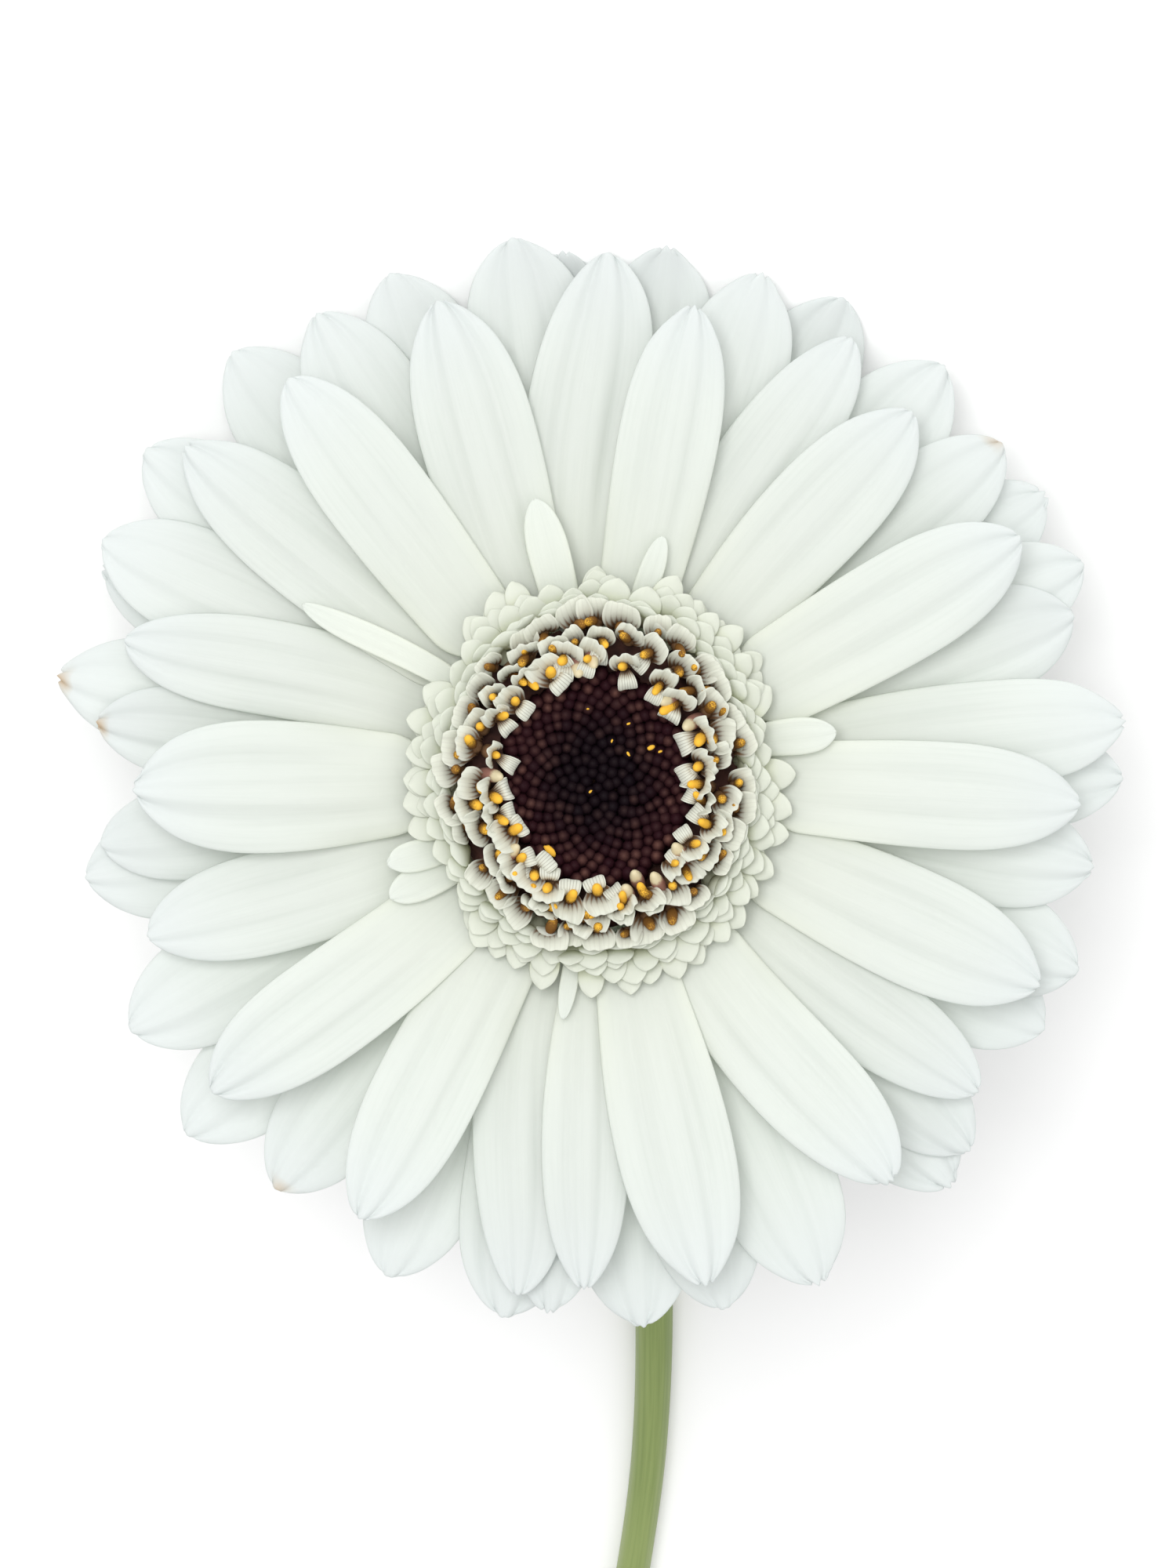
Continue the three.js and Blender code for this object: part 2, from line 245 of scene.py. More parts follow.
# The tubes of the lowest rows stand on the receptacle's flank, the others on its rim: radius and height
FLANK_ROWS = 2
FLANK_STAND = (10.55, -0.3)
RIM_STAND = (10.3, 0.3)

# Rows of open florets from the outermost in: height of the anthers, reach and rise of the outer lip, its width, ruffle
# of its edge, share of florets with an inner lip, lean of the anthers, share of the anther that pollen covers
OPEN_ROWS = [
    (4.5, 1.25, 0.4, 2.4, 0.1, 0.0, 0.05, 0.55),
    (4.95, 0.95, 0.5, 2.3, 0.17, 0.25, -0.05, 0.7),
    (5.2, 0.85, 0.75, 2.3, 0.24, 0.9, -0.3, 1.05),
]
OUTER_LIP_CUP = 0.5
INNER_LIP_WIDTH = 1.45
ANTHER_SIZE = (0.78, 2.1)
TUBE_FOOT = -3.2
# How many open florets the outer rows have, and the radius of their anthers
OUTER_OPEN_ROWS = [(32, 10.2), (31, 9.15)]
# Direction and radius of the innermost row's anthers, one by one
INNER_OPEN_PLACES = [
    (7, 7.2),
    (22, 7.65),
    (43, 7.5),
    (56, 8.0),
    (76, 7.9),
    (93, 8.5),
    (105, 8.6),
    (115, 8.0),
    (125, 8.4),
    (138, 7.9),
    (149, 8.0),
    (168, 7.2),
    (189, 7.3),
    (201, 7.5),
    (212, 7.3),
    (226, 8.2),
    (236, 8.1),
    (246, 8.3),
    (257, 9.0),
    (271, 8.3),
    (281, 8.9),
    (292, 9.0),
    (311, 7.9),
    (324, 8.1),
    (337, 8.5),
    (347, 7.5),
    (357, 7.1),
]

# Places of the florets that are about to open, at the rim of the dark middle
OPENING_HEIGHT = 5.6
OPENING_PLACES = [
    (-0.2, 7.6),
    (-1.3, 7.0),
    (-6.6, 0.0),
    (-5.5, -4.7),
    (5.3, -4.6),
    (2.5, -6.5),
    (3.8, -6.6),
    (1.9, -7.5),
    (6.0, 3.4),
    (4.4, 5.2),
]

# Crumbs of pollen on the closed florets: place and size
POLLEN_CRUMBS = [
    (-0.7, 4.7, 0.16),
    (2.0, 3.9, 0.2),
    (1.3, 2.6, 0.18),
    (2.3, 1.9, 0.24),
    (3.4, 2.15, 0.42),
    (4.3, 1.65, 0.22),
    (-0.8, -1.05, 0.2),
    (-3.1, -5.3, 0.7),
]
# Closed florets: how many, radius of their field, height of their tips in its middle and at its rim
BUD_COUNT = 300
BUD_FIELD = 6.95
MIDDLE_HEIGHT = 2.7
RIM_HEIGHT = 4.1
BUD_FOOT = 0.4
BUD_BLUNTNESS = 5.0
OPENING_RADIUS = 0.62
OPENING_LENGTH = 3.4
OPENING_BLUNTNESS = 2.0
TALL = 0.055  # the disc's rings are a little taller than wide
GOLDEN_ANGLE = math.pi * (3.0 - math.sqrt(5.0))


# Small tools


def rgb(code):
    """Linear colour of an sRGB hex code."""
    channels = [int(code[i : i + 2], 16) / 255.0 for i in (1, 3, 5)]
    linear = [c / 12.92 if c <= 0.04045 else ((c + 0.055) / 1.055) ** 2.4 for c in channels]
    return (*linear, 1.0)


def mix(a, b, share):
    return a + (b - a) * share


def ramp(low, high, value):
    """Smooth step from 0 at low to 1 at high."""
    share = min(max((value - low) / (high - low), 0.0), 1.0)
    return share * share * (3.0 - 2.0 * share)


def bell(value):
    return math.exp(-value * value)


def colour(name, description, code):
    return FloatVectorProperty(
        name=name, description=description, default=rgb(code), size=4, subtype="COLOR", min=0.0, max=1.0
    )


def length(name, description, millimetres):
    return FloatProperty(
        name=name, description=description, default=millimetres * MM, unit="LENGTH", min=0.0, precision=5
    )


def add_node(tree, kind, inputs=(), settings=None, output=0):
    """Adds one node and gives one of its outputs. The inputs are values, or outputs of other nodes, by name or in
    their order."""
    node = tree.nodes.new(f"ShaderNode{kind}")
    for name, value in (settings or {}).items():
        setattr(node, name, value)
    for name, value in inputs.items() if isinstance(inputs, dict) else enumerate(inputs):
        if isinstance(value, bpy.types.NodeSocket):
            tree.links.new(value, node.inputs[name])
        else:
            node.inputs[name].default_value = value
    return node.outputs[output] if node.outputs else None


def tissue_mesh():
    """A mesh that carries a UV map: along the tissue and across it."""
    bm = bmesh.new()
    bm.loops.layers.uv.new("along_across")
    return bm


def add_grid(bm, along, across, end=1.0):
    """Adds a flat grid from -0.5 to 0.5 each way, and lays the UV map on it, from 0 to the end along it."""
    corners = bmesh.ops.create_grid(bm, x_segments=along, y_segments=across, size=0.5)["verts"]
    layer = bm.loops.layers.uv["along_across"]
    for vertex in corners:
        for loop in vertex.link_loops:
            loop[layer].uv = ((vertex.co.x + 0.5) * end, vertex.co.y + 0.5)
    return corners


def put_on_head(bm):
    """Takes a mesh from the head's frame to the world."""
    bmesh.ops.transform(bm, matrix=HEAD, verts=bm.verts)


def finish_piece(name, bm, materials, replaces=(), wall=0.0, smoothing=0):
    """Turns a mesh that is in world millimetres into a piece in metres that rides on the flower."""
    bmesh.ops.transform(bm, matrix=TO_METRES, verts=bm.verts)
    mesh = bpy.data.meshes.new(name)
    bm.to_mesh(mesh)
    bm.free()
    mesh.shade_smooth()
    for material in materials:
        mesh.materials.append(material)
    piece = bpy.data.objects.new(name, mesh)
    bpy.context.scene.collection.objects.link(piece)
    if wall:
        solidify = piece.modifiers.new("Tissue thickness", "SOLIDIFY")
        solidify.thickness = wall
        solidify.offset = 0.0
        solidify.use_even_offset = False
    if smoothing:
        surface = piece.modifiers.new("Smooth", "SUBSURF")
        surface.levels = smoothing
        surface.render_levels = smoothing
    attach(piece, "root")
    if replaces:
        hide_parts(*replaces)
    return piece


# Sizes and colours a user would change


class GerberaPetalLook(bpy.types.PropertyGroup):
    """Sizes and colours of the petals"""

    thickness: length("Thickness", "Thickness of a petal's tissue", 0.26)
    groove: length("Groove depth", "Depth of the two long grooves of a petal", 0.52)
    bow: length("Bow", "How far a petal's edges bend down below its middle", 0.4)
    white: colour("White", "Colour of the blades", "#E8ECE7")
    # The feet's creamy tint is real; it is set lighter than the blades as painted light against the creases' shade
    cream_and_painted_light: colour("Foot", "Colour of the petals' feet, in the creases of the flower", "#F0F3E9")
    tip: colour("Tip", "Colour towards the thin tips", "#E5E9E9")
    vein: colour("Vein", "Colour of the fine lengthwise veins", "#DFE4DE")
    brown: colour("Browned tip", "Colour of a bruised or dried tip", "#C9A878")


class GerberaDiscLook(bpy.types.PropertyGroup):
    """Sizes and colours of the disc florets"""

    lip_thickness: length("Lip thickness", "Thickness of a floret's lip", 0.09)
    trans: colour("Trans floret", "Colour of the rounded tongues round the disc", "#E6E9DE")
    # Greenish foot of the tongues: partly their own tint, partly painted shade where they dip between others
    trans_foot_and_shade: colour("Trans foot", "Colour between the tongues", "#E6EACF")
    lip: colour("Lip", "Colour of the open florets' lips", "#E0E2D5")
    lip_streak: colour("Lip streak", "Colour of the streaks on the lips", "#7C7064")
    lip_foot: colour("Lip foot", "Colour of the foot of a lip and of its tube", "#9A7656")
    anther: colour("Anther", "Colour of the pollen-covered anthers", "#E8B23A")
    anther_foot: colour("Anther foot", "Colour of the anthers' lower part", "#7A5220")
    # Near-black middle buds: partly their own dark wine, partly painted shade of the sunken middle
    bud: colour("Bud", "Colour of the closed florets in the middle", "#0E060C")
    bud_rim: colour("Outer bud", "Colour of the closed florets near the rim", "#260D14")
    bud_tip: colour("Bud tip", "Colour of the closed florets' pale tips", "#745045")
    opening: colour("Opening floret", "Colour of the round florets that are about to open", "#CEC2A0")
    opening_side: colour("Opening side", "Colour of their sides", "#92685C")


class GerberaStalkLook(bpy.types.PropertyGroup):
    """Sizes and colours of the stalk and the bracts"""

    rib: length("Rib height", "Height of the stalk's fine lengthwise ribs", 0.05)
    skin: colour("Stalk", "Colour of the stalk's skin", "#87965A")
    skin_dark: colour("Stalk streaks", "Colour of the darker streaks along the stalk", "#76874D")
    pith: colour("Cut", "Colour of the cut end", "#C9D0A0")
    # Painted shade: the floor between the florets and its pits are dark brown where the real floor is pale
    bed_painted_shade: colour("Receptacle floor", "Colour of the receptacle between the florets", "#5E3A30")
    pit_painted_shade: colour("Receptacle pits", "Colour of the pits in which the florets stand", "#3A2320")
    bract: colour("Bract", "Colour of the bracts", "#6E8948")
    bract_tip: colour("Bract tip", "Colour of the bracts' tips", "#4C4A30")


class GerberaStageLook(bpy.types.PropertyGroup):
    """Floor, light and camera"""

    floor: colour("Floor", "Colour of the pale floor", "#FAFAFA")
    dome: FloatProperty(name="Dome light", description="Strength of the even light from all round", default=0.75)
    key: FloatProperty(name="Key light", description="Power of the large soft light", default=5.6, unit="POWER")
    fill: FloatProperty(name="Fill light", description="Power of the weak light opposite", default=0.8, unit="POWER")
    distance: length("Camera distance", "From the camera to the flower's face", 450.0)


# Materials

TISSUE_MAP = {"uv_map": "along_across"}
SMOOTH = {"interpolation_type": "SMOOTHSTEP"}
# A Mix node for colours takes its share as input 0 and its two colours as inputs 6 and 7, and gives output 2
COLOURS = {"data_type": "RGBA"}


def new_material(name):
    """A bare material, and add_node for its tree."""
    material = bpy.data.materials.new(name)
    material.use_nodes = True
    material.node_tree.nodes.clear()
    return material, partial(add_node, material.node_tree)


def stretched_noise(node, place, scale, detail, roughness=0.5):
    """Noise that is drawn out one way, into veins, streaks or lines."""
    drawn_out = node("Mapping", {"Vector": place, "Scale": scale})
    return node("TexNoise", {"Vector": drawn_out, "Scale": 1.0, "Detail": detail, "Roughness": roughness})


def finish_material(material, node, colour, skin, relief=None, sunken=False, through=0.0):
    """Ends a material with its skin. The relief is a strength, a depth in millimetres and the pattern that stands out,
    or in if it is sunken. Through is the share of the light that passes through the tissue."""
    bumps = {}
    if relief:
        strength, depth, pattern = relief
        bump = {"Strength": strength, "Distance": depth * MM, "Height": pattern}
        bumps = {"Normal": node("Bump", bump, {"invert": sunken})}
    surface = node("BsdfPrincipled", {"Base Color": colour, **skin, **bumps})
    if through:
        lit_from_behind = node("BsdfTranslucent", {"Color": colour, **bumps})
        surface = node("MixShader", (through, surface, lit_from_behind))
    node("OutputMaterial", {"Surface": surface})
    return material


def petal_tissue(look):
    """Ray petal: thin living tissue full of air, which scatters light like snow, so it is matt and lets light through.
    Its veins run lengthwise, about 0.45 mm apart; its thick foot is creamy, painted lighter against the creases' shade."""
    material, node = new_material("ray_petal_tissue")
    uv = node("UVMap", settings=TISSUE_MAP)
    along, across, _ = node("SeparateXYZ", {"Vector": uv}).node.outputs
    # 18 veins on an 8 mm blade, drawn out along it
    veins = stretched_noise(node, uv, (1.6, 18.0, 1.0), 3.0, 0.55)
    vein_share = node("MapRange", (veins, 0.42, 0.72, 0.0, 0.5), SMOOTH)
    blade = node("Mix", {0: vein_share, 6: look.white, 7: look.vein}, COLOURS, 2)
    tip_share = node("MapRange", (along, 0.5, 1.0, 0.0, 0.8), SMOOTH)
    tipped = node("Mix", {0: tip_share, 6: blade, 7: look.tip}, COLOURS, 2)
    # The foot is creamy, and painted lighter than the blade, most at its two edges: painted light in the creases
    foot = node("MapRange", (along, 0.55, 0.05), SMOOTH)
    from_middle = node("Math", (across, 0.5), {"operation": "SUBTRACT"})
    sideways = node("Math", (from_middle,), {"operation": "ABSOLUTE"})
    crease_painted_light = node("MapRange", (sideways, 0.3, 0.5, 0.6, 1.0), SMOOTH)
    foot_share = node("Math", (foot, crease_painted_light), {"operation": "MULTIPLY"})
    footed = node("Mix", {0: foot_share, 6: tipped, 7: look.cream_and_painted_light}, COLOURS, 2)
    browning = node("Attribute", settings={"attribute_name": "browning"}, output="Fac")
    coloured = node("Mix", {0: browning, 6: footed, 7: look.brown}, COLOURS, 2)
    skin = {"Roughness": 0.58, "IOR": 1.4, "Specular IOR Level": 0.35}
    return finish_material(material, node, coloured, skin, (0.35, 0.05, veins), through=0.38)


def trans_tissue(look):
    """Tongue of a trans floret: the same airy tissue, thicker and rounder, its greenish foot partly painted shade."""
    material, node = new_material("trans_floret_tissue")
    uv = node("UVMap", settings=TISSUE_MAP)
    along = node("SeparateXYZ", {"Vector": uv})
    veins = stretched_noise(node, uv, (1.0, 7.0, 1.0), 2.0)
    # Greenish towards the foot, which dips between the others: partly the tongue's own tint, partly painted shade
    foot_share = node("MapRange", (along, 0.62, 0.2), SMOOTH)
    coloured = node("Mix", {0: foot_share, 6: look.trans, 7: look.trans_foot_and_shade}, COLOURS, 2)
    skin = {"Roughness": 0.5, "IOR": 1.4, "Specular IOR Level": 0.3}
    return finish_material(material, node, coloured, skin, (0.3, 0.05, veins), through=0.34)


def lip_tissue(look):
    """Lip of an open floret: thin off-white strap with grey-brown streaks along it, wine-brown at its foot."""
    material, node = new_material("open_floret_lip_tissue")
    uv = node("UVMap", settings=TISSUE_MAP)
    along = node("SeparateXYZ", {"Vector": uv})
    # Seven streaks across a 2 mm lip
    drawn_out = node("Mapping", {"Vector": uv, "Scale": (0.5, 1.0, 1.0)})
    wave = {"Vector": drawn_out, "Scale": 2.2, "Distortion": 2.4, "Detail": 3.0, "Detail Scale": 1.6}
    streaks = node("TexWave", wave, {"wave_type": "BANDS", "bands_direction": "Y"}, "Fac")
    streak_share = node("MapRange", (streaks, 0.7, 1.0, 0.0, 0.75), SMOOTH)
    # They fade towards the lip's end, but not below the lip's own streaking
    fading = node("MapRange", (along, 0.4, 0.75, 1.0, 0.0))
    streaking = node("Attribute", settings={"attribute_name": "streaking"}, output="Fac")
    strength = node("Math", (fading, streaking), {"operation": "MAXIMUM"})
    streaked = node("Math", (streak_share, strength), {"operation": "MULTIPLY"})
    striped = node("Mix", {0: streaked, 6: look.lip, 7: look.lip_streak}, COLOURS, 2)
    # The foot's colour runs up along the streaks
    footing = node("Math", (streaks, -0.2, along), {"operation": "MULTIPLY_ADD"})
    foot_share = node("MapRange", (footing, 0.52, 0.2), SMOOTH)
    coloured = node("Mix", {0: foot_share, 6: striped, 7: look.lip_foot}, COLOURS, 2)
    skin = {"Roughness": 0.5, "IOR": 1.4, "Specular IOR Level": 0.3}
    return finish_material(material, node, coloured, skin, (0.15, 0.04, streaks), through=0.25)


def anther_pollen(look):
    """Anther tube dusted with pollen: dull and grainy, bright yellow on top, brown where the tube shows bare."""
    material, node = new_material("anther_pollen")
    upward = node("Attribute", settings={"attribute_name": "upward"}, output="Fac")
    # Pollen grains are 0.04 mm, drawn in clumps of about 0.1 mm so that they show
    clumps = node("TexVoronoi", {"Vector": node("TexCoord", output="Object"), "Scale": 1.0 / (0.1 * MM)})
    uneven = node("Math", (clumps, -0.35, upward), {"operation": "MULTIPLY_ADD"})
    share = node("MapRange", (uneven, 0.15, 0.5), SMOOTH)
    coloured = node("Mix", {0: share, 6: look.anther_foot, 7: look.anther}, COLOURS, 2)
    skin = {"Roughness": 0.8, "Specular IOR Level": 0.25}
    return finish_material(material, node, coloured, skin, (0.3, 0.03, clumps), sunken=True)


def bud_skin(look):
    """Closed disc floret: smooth, dark wine skin with a thin wax bloom, paler and browner at the tips near the rim."""
    material, node = new_material("closed_floret_skin")
    # Redder towards the rim, near-black in the sunken middle: partly the buds' own wine tone, partly painted shade
    outward = node("Attribute", settings={"attribute_name": "outward"}, output="Fac")
    side = node("Mix", {0: outward, 6: look.bud, 7: look.bud_rim}, COLOURS, 2)
    pale = node("Attribute", settings={"attribute_name": "pale"}, output="Fac")
    # Each bud is about 0.7 mm across, and the blotches differ from bud to bud
    blotch = node("TexNoise", {"Vector": node("TexCoord", output="Object"), "Scale": 1.0 / (1.1 * MM)})
    uneven = node("MapRange", (blotch, 0.35, 0.65, 0.35, 1.1))
    share = node("Math", (pale, uneven), {"operation": "MULTIPLY"})
    coloured = node("Mix", {0: share, 6: side, 7: look.bud_tip}, COLOURS, 2)
    return finish_material(material, node, coloured, {"Roughness": 0.6, "IOR": 1.4, "Specular IOR Level": 0.1})


def opening_skin(look):
    """Floret about to open: firm beige skin with fine lengthwise lines, pinkish brown down its sides."""
    material, node = new_material("opening_floret_skin")
    upward = node("Attribute", settings={"attribute_name": "upward"}, output="Fac")
    # Lines 0.15 mm apart, which run down the flower's axis
    turned = node("Mapping", {"Vector": node("TexCoord", output="Object"), "Rotation": (HEAD_TILT, 0.0, 0.0)})
    lines = stretched_noise(node, turned, (1.0 / (0.15 * MM), 1.0 / (0.15 * MM), 1.0 / (2.0 * MM)), 2.0)
    height = node("Math", (lines, 0.25, upward), {"operation": "MULTIPLY_ADD"})
    share = node("MapRange", (height, 0.55, 0.95), SMOOTH)
    coloured = node("Mix", {0: share, 6: look.opening_side, 7: look.opening}, COLOURS, 2)
    skin = {"Roughness": 0.5, "IOR": 1.4, "Specular IOR Level": 0.35}
    return finish_material(material, node, coloured, skin, (0.4, 0.04, lines))


def stalk_skin(look):
    """Stalk: firm green skin with streaks and fine down along it, half matt."""
    material, node = new_material("stalk_skin")
    uv = node("UVMap", settings=TISSUE_MAP)
    # Streaks 0.3 mm wide, 32 of them round a 3 mm stalk, and each about 10 mm long
    streaks = stretched_noise(node, uv, (0.1, 32.0, 1.0), 2.0)
    # Patches about 20 mm long where the skin is a little darker
    patches = stretched_noise(node, uv, (0.05, 1.5, 1.0), 1.0)
    blend = node("Math", (streaks, patches), {"operation": "ADD"})
    share = node("MapRange", (blend, 0.75, 1.35), SMOOTH)
    coloured = node("Mix", {0: share, 6: look.skin, 7: look.skin_dark}, COLOURS, 2)
    skin = {"Roughness": 0.5, "IOR": 1.42, "Specular IOR Level": 0.4, "Sheen Weight": 0.15, "Sheen Roughness": 0.5}
    return finish_material(material, node, coloured, skin, (0.35, 0.08, streaks))


def receptacle_floor_painted_shade(look):
    """Floor between the florets: painted shade, a rough dark brown where the real floor is pale, deep in shade."""
    material, node = new_material("receptacle_floor_painted_shade")
    # Pits are about 0.7 mm apart, one for each floret, and painted darker: painted shade in their hollows
    pits = node("TexVoronoi", {"Vector": node("TexCoord", output="Object"), "Scale": 1.0 / (0.7 * MM)})
    share = node("MapRange", (pits, 0.0, 0.8))
    coloured = node("Mix", {0: share, 6: look.pit_painted_shade, 7: look.bed_painted_shade}, COLOURS, 2)
    return finish_material(material, node, coloured, {"Roughness": 0.85}, (0.6, 0.2, pits))


def cut_pith(look):
    """Cut end: wet, pale pith with the ring of bundles just inside the skin."""
    material, node = new_material("cut_pith")
    # Cells and bundles of the pith, drawn 0.22 mm across so that they show
    cells = node("TexVoronoi", {"Vector": node("TexCoord", output="Object"), "Scale": 1.0 / (0.22 * MM)})
    share = node("MapRange", (cells, 0.2, 0.8, 0.0, 0.4))
    coloured = node("Mix", {0: share, 6: look.pith, 7: look.skin}, COLOURS, 2)
    return finish_material(material, node, coloured, {"Roughness": 0.35, "IOR": 1.36}, (0.5, 0.1, cells))


def bract_leaf(look):
    """Bract: small tough leaf, matt with down, green, with darker veins and a dry, dark tip."""
    material, node = new_material("bract_leaf")
    uv = node("UVMap", settings=TISSUE_MAP)
    along = node("SeparateXYZ", {"Vector": uv})
    # Twelve veins across a 4 mm bract
    veins = stretched_noise(node, uv, (2.0, 12.0, 1.0), 3.0)
    tip_share = node("MapRange", (along, 0.72, 1.0, 0.0, 0.85), SMOOTH)
    vein_share = node("MapRange", (veins, 0.4, 0.7, 0.0, 0.45))
    share = node("Math", (tip_share, vein_share), {"operation": "MAXIMUM"})
    coloured = node("Mix", {0: share, 6: look.bract, 7: look.bract_tip}, COLOURS, 2)
    skin = {"Roughness": 0.6, "IOR": 1.42, "Specular IOR Level": 0.35, "Sheen Weight": 0.25, "Sheen Roughness": 0.5}
    return finish_material(material, node, coloured, skin, (0.4, 0.08, veins))


def floor_paper(look):
    """Floor: matt white background paper, with the faintest tooth."""
    material, node = new_material("background_paper")
    tooth = node("TexNoise", {"Vector": node("TexCoord", output="Object"), "Scale": 1.0 / (0.8 * MM)})
    skin = {"Roughness": 0.9, "Specular IOR Level": 0.1}
    return finish_material(material, node, look.floor, skin, (0.05, 0.05, tooth))


# Petals


def petal_outline(s, roundness, foot_share):
    """Share of a petal's full width at share s of its length. It widens fast from its narrow claw to the disc's rim,
    then slowly to the widest place."""
    if s < WIDEST:
        swell = math.sin(0.5 * math.pi * s / WIDEST) ** SWELL
        claw = mix(CLAW_WIDTH / foot_share, 1.0, ramp(-0.02, 0.13, s))
        return claw * mix(foot_share, 1.0, swell)
    to_tip = (s - WIDEST) / (1.0 - WIDEST)
    return mix(TIP_WIDTH, 1.0, (1.0 - to_tip**roundness) ** 0.68)


class Petal:
    """One petal's place and the small differences that make it its own."""

    def __init__(self, foot, tip, foot_radius, reach, width, foot_share, height, rise, fall, roundness, seed):
        self.foot = foot
        self.tip = tip
        self.foot_radius = foot_radius
        self.reach = reach
        self.width = width
        self.height = height
        self.rise = rise
        self.fall = fall
        self.roundness = roundness
        self.foot_share = foot_share
        chance = random.Random(seed)
        self.bow = chance.uniform(0.5, 1.1)
        self.roll = chance.uniform(-0.05, 0.11)
        self.groove = chance.uniform(0.6, 1.25)
        self.groove_place = chance.uniform(0.34, 0.46)
        self.groove_shift = chance.uniform(-0.1, 0.1)
        self.ripple = chance.uniform(0.03, 0.14)
        self.ripple_turn = chance.uniform(0.0, 1.0)
        self.droop = chance.uniform(-0.2, 0.35)
        self.teeth = chance.choice((0.03, 0.06, 0.1, 0.2))
        self.teeth_shift = chance.uniform(-0.25, 0.25)
        # How far the foot's clockwise edge bends down and tilts, and the other one
        self.foot_edges = (BACK_FOOT_EDGE, BACK_FOOT_EDGE)
        self.tilt_fades = SMALL_TILT_FADES

    def relief(self, s, t, groove, bow):
        """Height above the petal's plain arch at share s along and t across, from -1 to 1."""
        blade = ramp(0.03, 0.3, s)
        scale = self.width / RELIEF_WIDTH
        side = abs(t + self.groove_shift)
        grooves = bell((side - self.groove_place) / GROOVE_SPREAD) + FOLD_SHARE * bell(side / FOLD_SPREAD)
        up = -groove * self.groove * grooves * ramp(0.05, 0.45, s) * (1.0 - 0.2 * s)
        foot_bend, foot_tilt = self.foot_edges[0 if t < 0.0 else 1]
        up -= mix(foot_bend, bow * self.bow, ramp(0.2, 0.6, s)) * abs(t) ** 2.3 * blade
        up += foot_tilt * t * ramp(0.0, 0.1, s) * (1.0 - ramp(self.tilt_fades, self.tilt_fades + 0.35, s))
        up += self.roll * t * 0.5 * self.width * 0.4 * ramp(0.25, 0.5, s)
        up += self.ripple * math.sin(math.tau * (1.7 * s + self.ripple_turn + 0.15 * t)) * t * t * blade
        up -= self.droop * ramp(0.7, 1.0, s) ** 2
        return up * scale

    def tip_shape(self, s, t):
        """How far the blade's end stands out past its reach: a low arch with small teeth."""
        teeth = self.teeth * math.cos(3.0 * math.pi * (t + self.teeth_shift))
        return (0.42 * (1.0 - t * t) + teeth - 0.3) * ramp(0.84, 1.0, s) * self.width / RELIEF_WIDTH

    def point(self, s, t, groove, bow):
        """Place in the head's frame."""
        turn = ramp(0.0, 1.0, s)
        direction = math.radians(mix(self.foot, self.tip, turn))
        radius = mix(self.foot_radius, self.reach, s) + self.tip_shape(s, t)
        out = t * 0.5 * self.width * petal_outline(s, self.roundness, self.foot_share)
        up = self.height + self.rise * s - self.fall * s * s + self.relief(s, t, groove, bow)
        return Vector(
            (
                radius * math.cos(direction) - out * math.sin(direction),
                radius * math.sin(direction) + out * math.cos(direction),
                up,
            )
        )


def is_crowded(rows, row, side):
    """Whether a petal of the same rank stands near, clockwise (side -1) or the other way (side 1)."""
    return any(
        other[4] == row[4] and 0.0 < side * (other[0] - row[0]) % 360.0 < CROWDED_ANGLE for other in rows
    )


def foot_edges(rows, row, plain_edges):
    """Edges of a petal's foot, and where their tilt fades. Beside a neighbour of the same rank, the tilt takes one
    petal's edge under the other one's."""
    under = is_crowded(rows, row, -1.0)
    over = is_crowded(rows, row, 1.0)
    edges = (UNDER_EDGE if under else plain_edges[0], OVER_EDGE if over else plain_edges[1])
    return edges, CROWDED_TILT_FADES if under or over else PLAIN_TILT_FADES


def resting_edge(rank, neighbour):
    """Edge of a front petal's foot, which bends down to rest on the neighbour that it overlaps."""
    return {1: 0.35, 2: 0.95}.get(rank - neighbour, 0.15), 0.0


def ray_petal(row, foot_share, order, roundness, seed):
    """A ray petal of the table, on the arch of its rank."""
    foot, tip, reach, width, rank = row
    below = TOP_RANK - rank
    height = TOP_FOOT_HEIGHT - below * FOOT_SPACING
    rise = ARCH_RISE + (TIP_SPACING - FOOT_SPACING) * (0.5 * TOP_RANK - below)
    fall = ARCH_FALL - TIP_WANDER * math.sin(2.4 * order)
    down = (FLANK_TOP[1] - height) / (FLANK_TOP[1] - FLANK_FOOT[1])
    foot_radius = mix(FLANK_TOP[0], FLANK_FOOT[0], down) + SEAT_GAP
    return Petal(foot, tip, foot_radius, reach, width, foot_share, height, rise, fall, roundness, seed)


def press_on_floor(bm, wall):
    """Bends a petal's low part up, from PRESS_HEIGHT down, until its lowest point rests on the floor."""
    lowest = min(min(vertex.co.z for vertex in bm.verts), 0.5 * wall)
    deepest = PRESS_HEIGHT - lowest
    squeeze = (0.5 * wall - lowest) / (deepest * deepest)
    for vertex in bm.verts:
        depth = PRESS_HEIGHT - vertex.co.z
        if depth > 0.0:
            vertex.co.z += squeeze * depth * depth


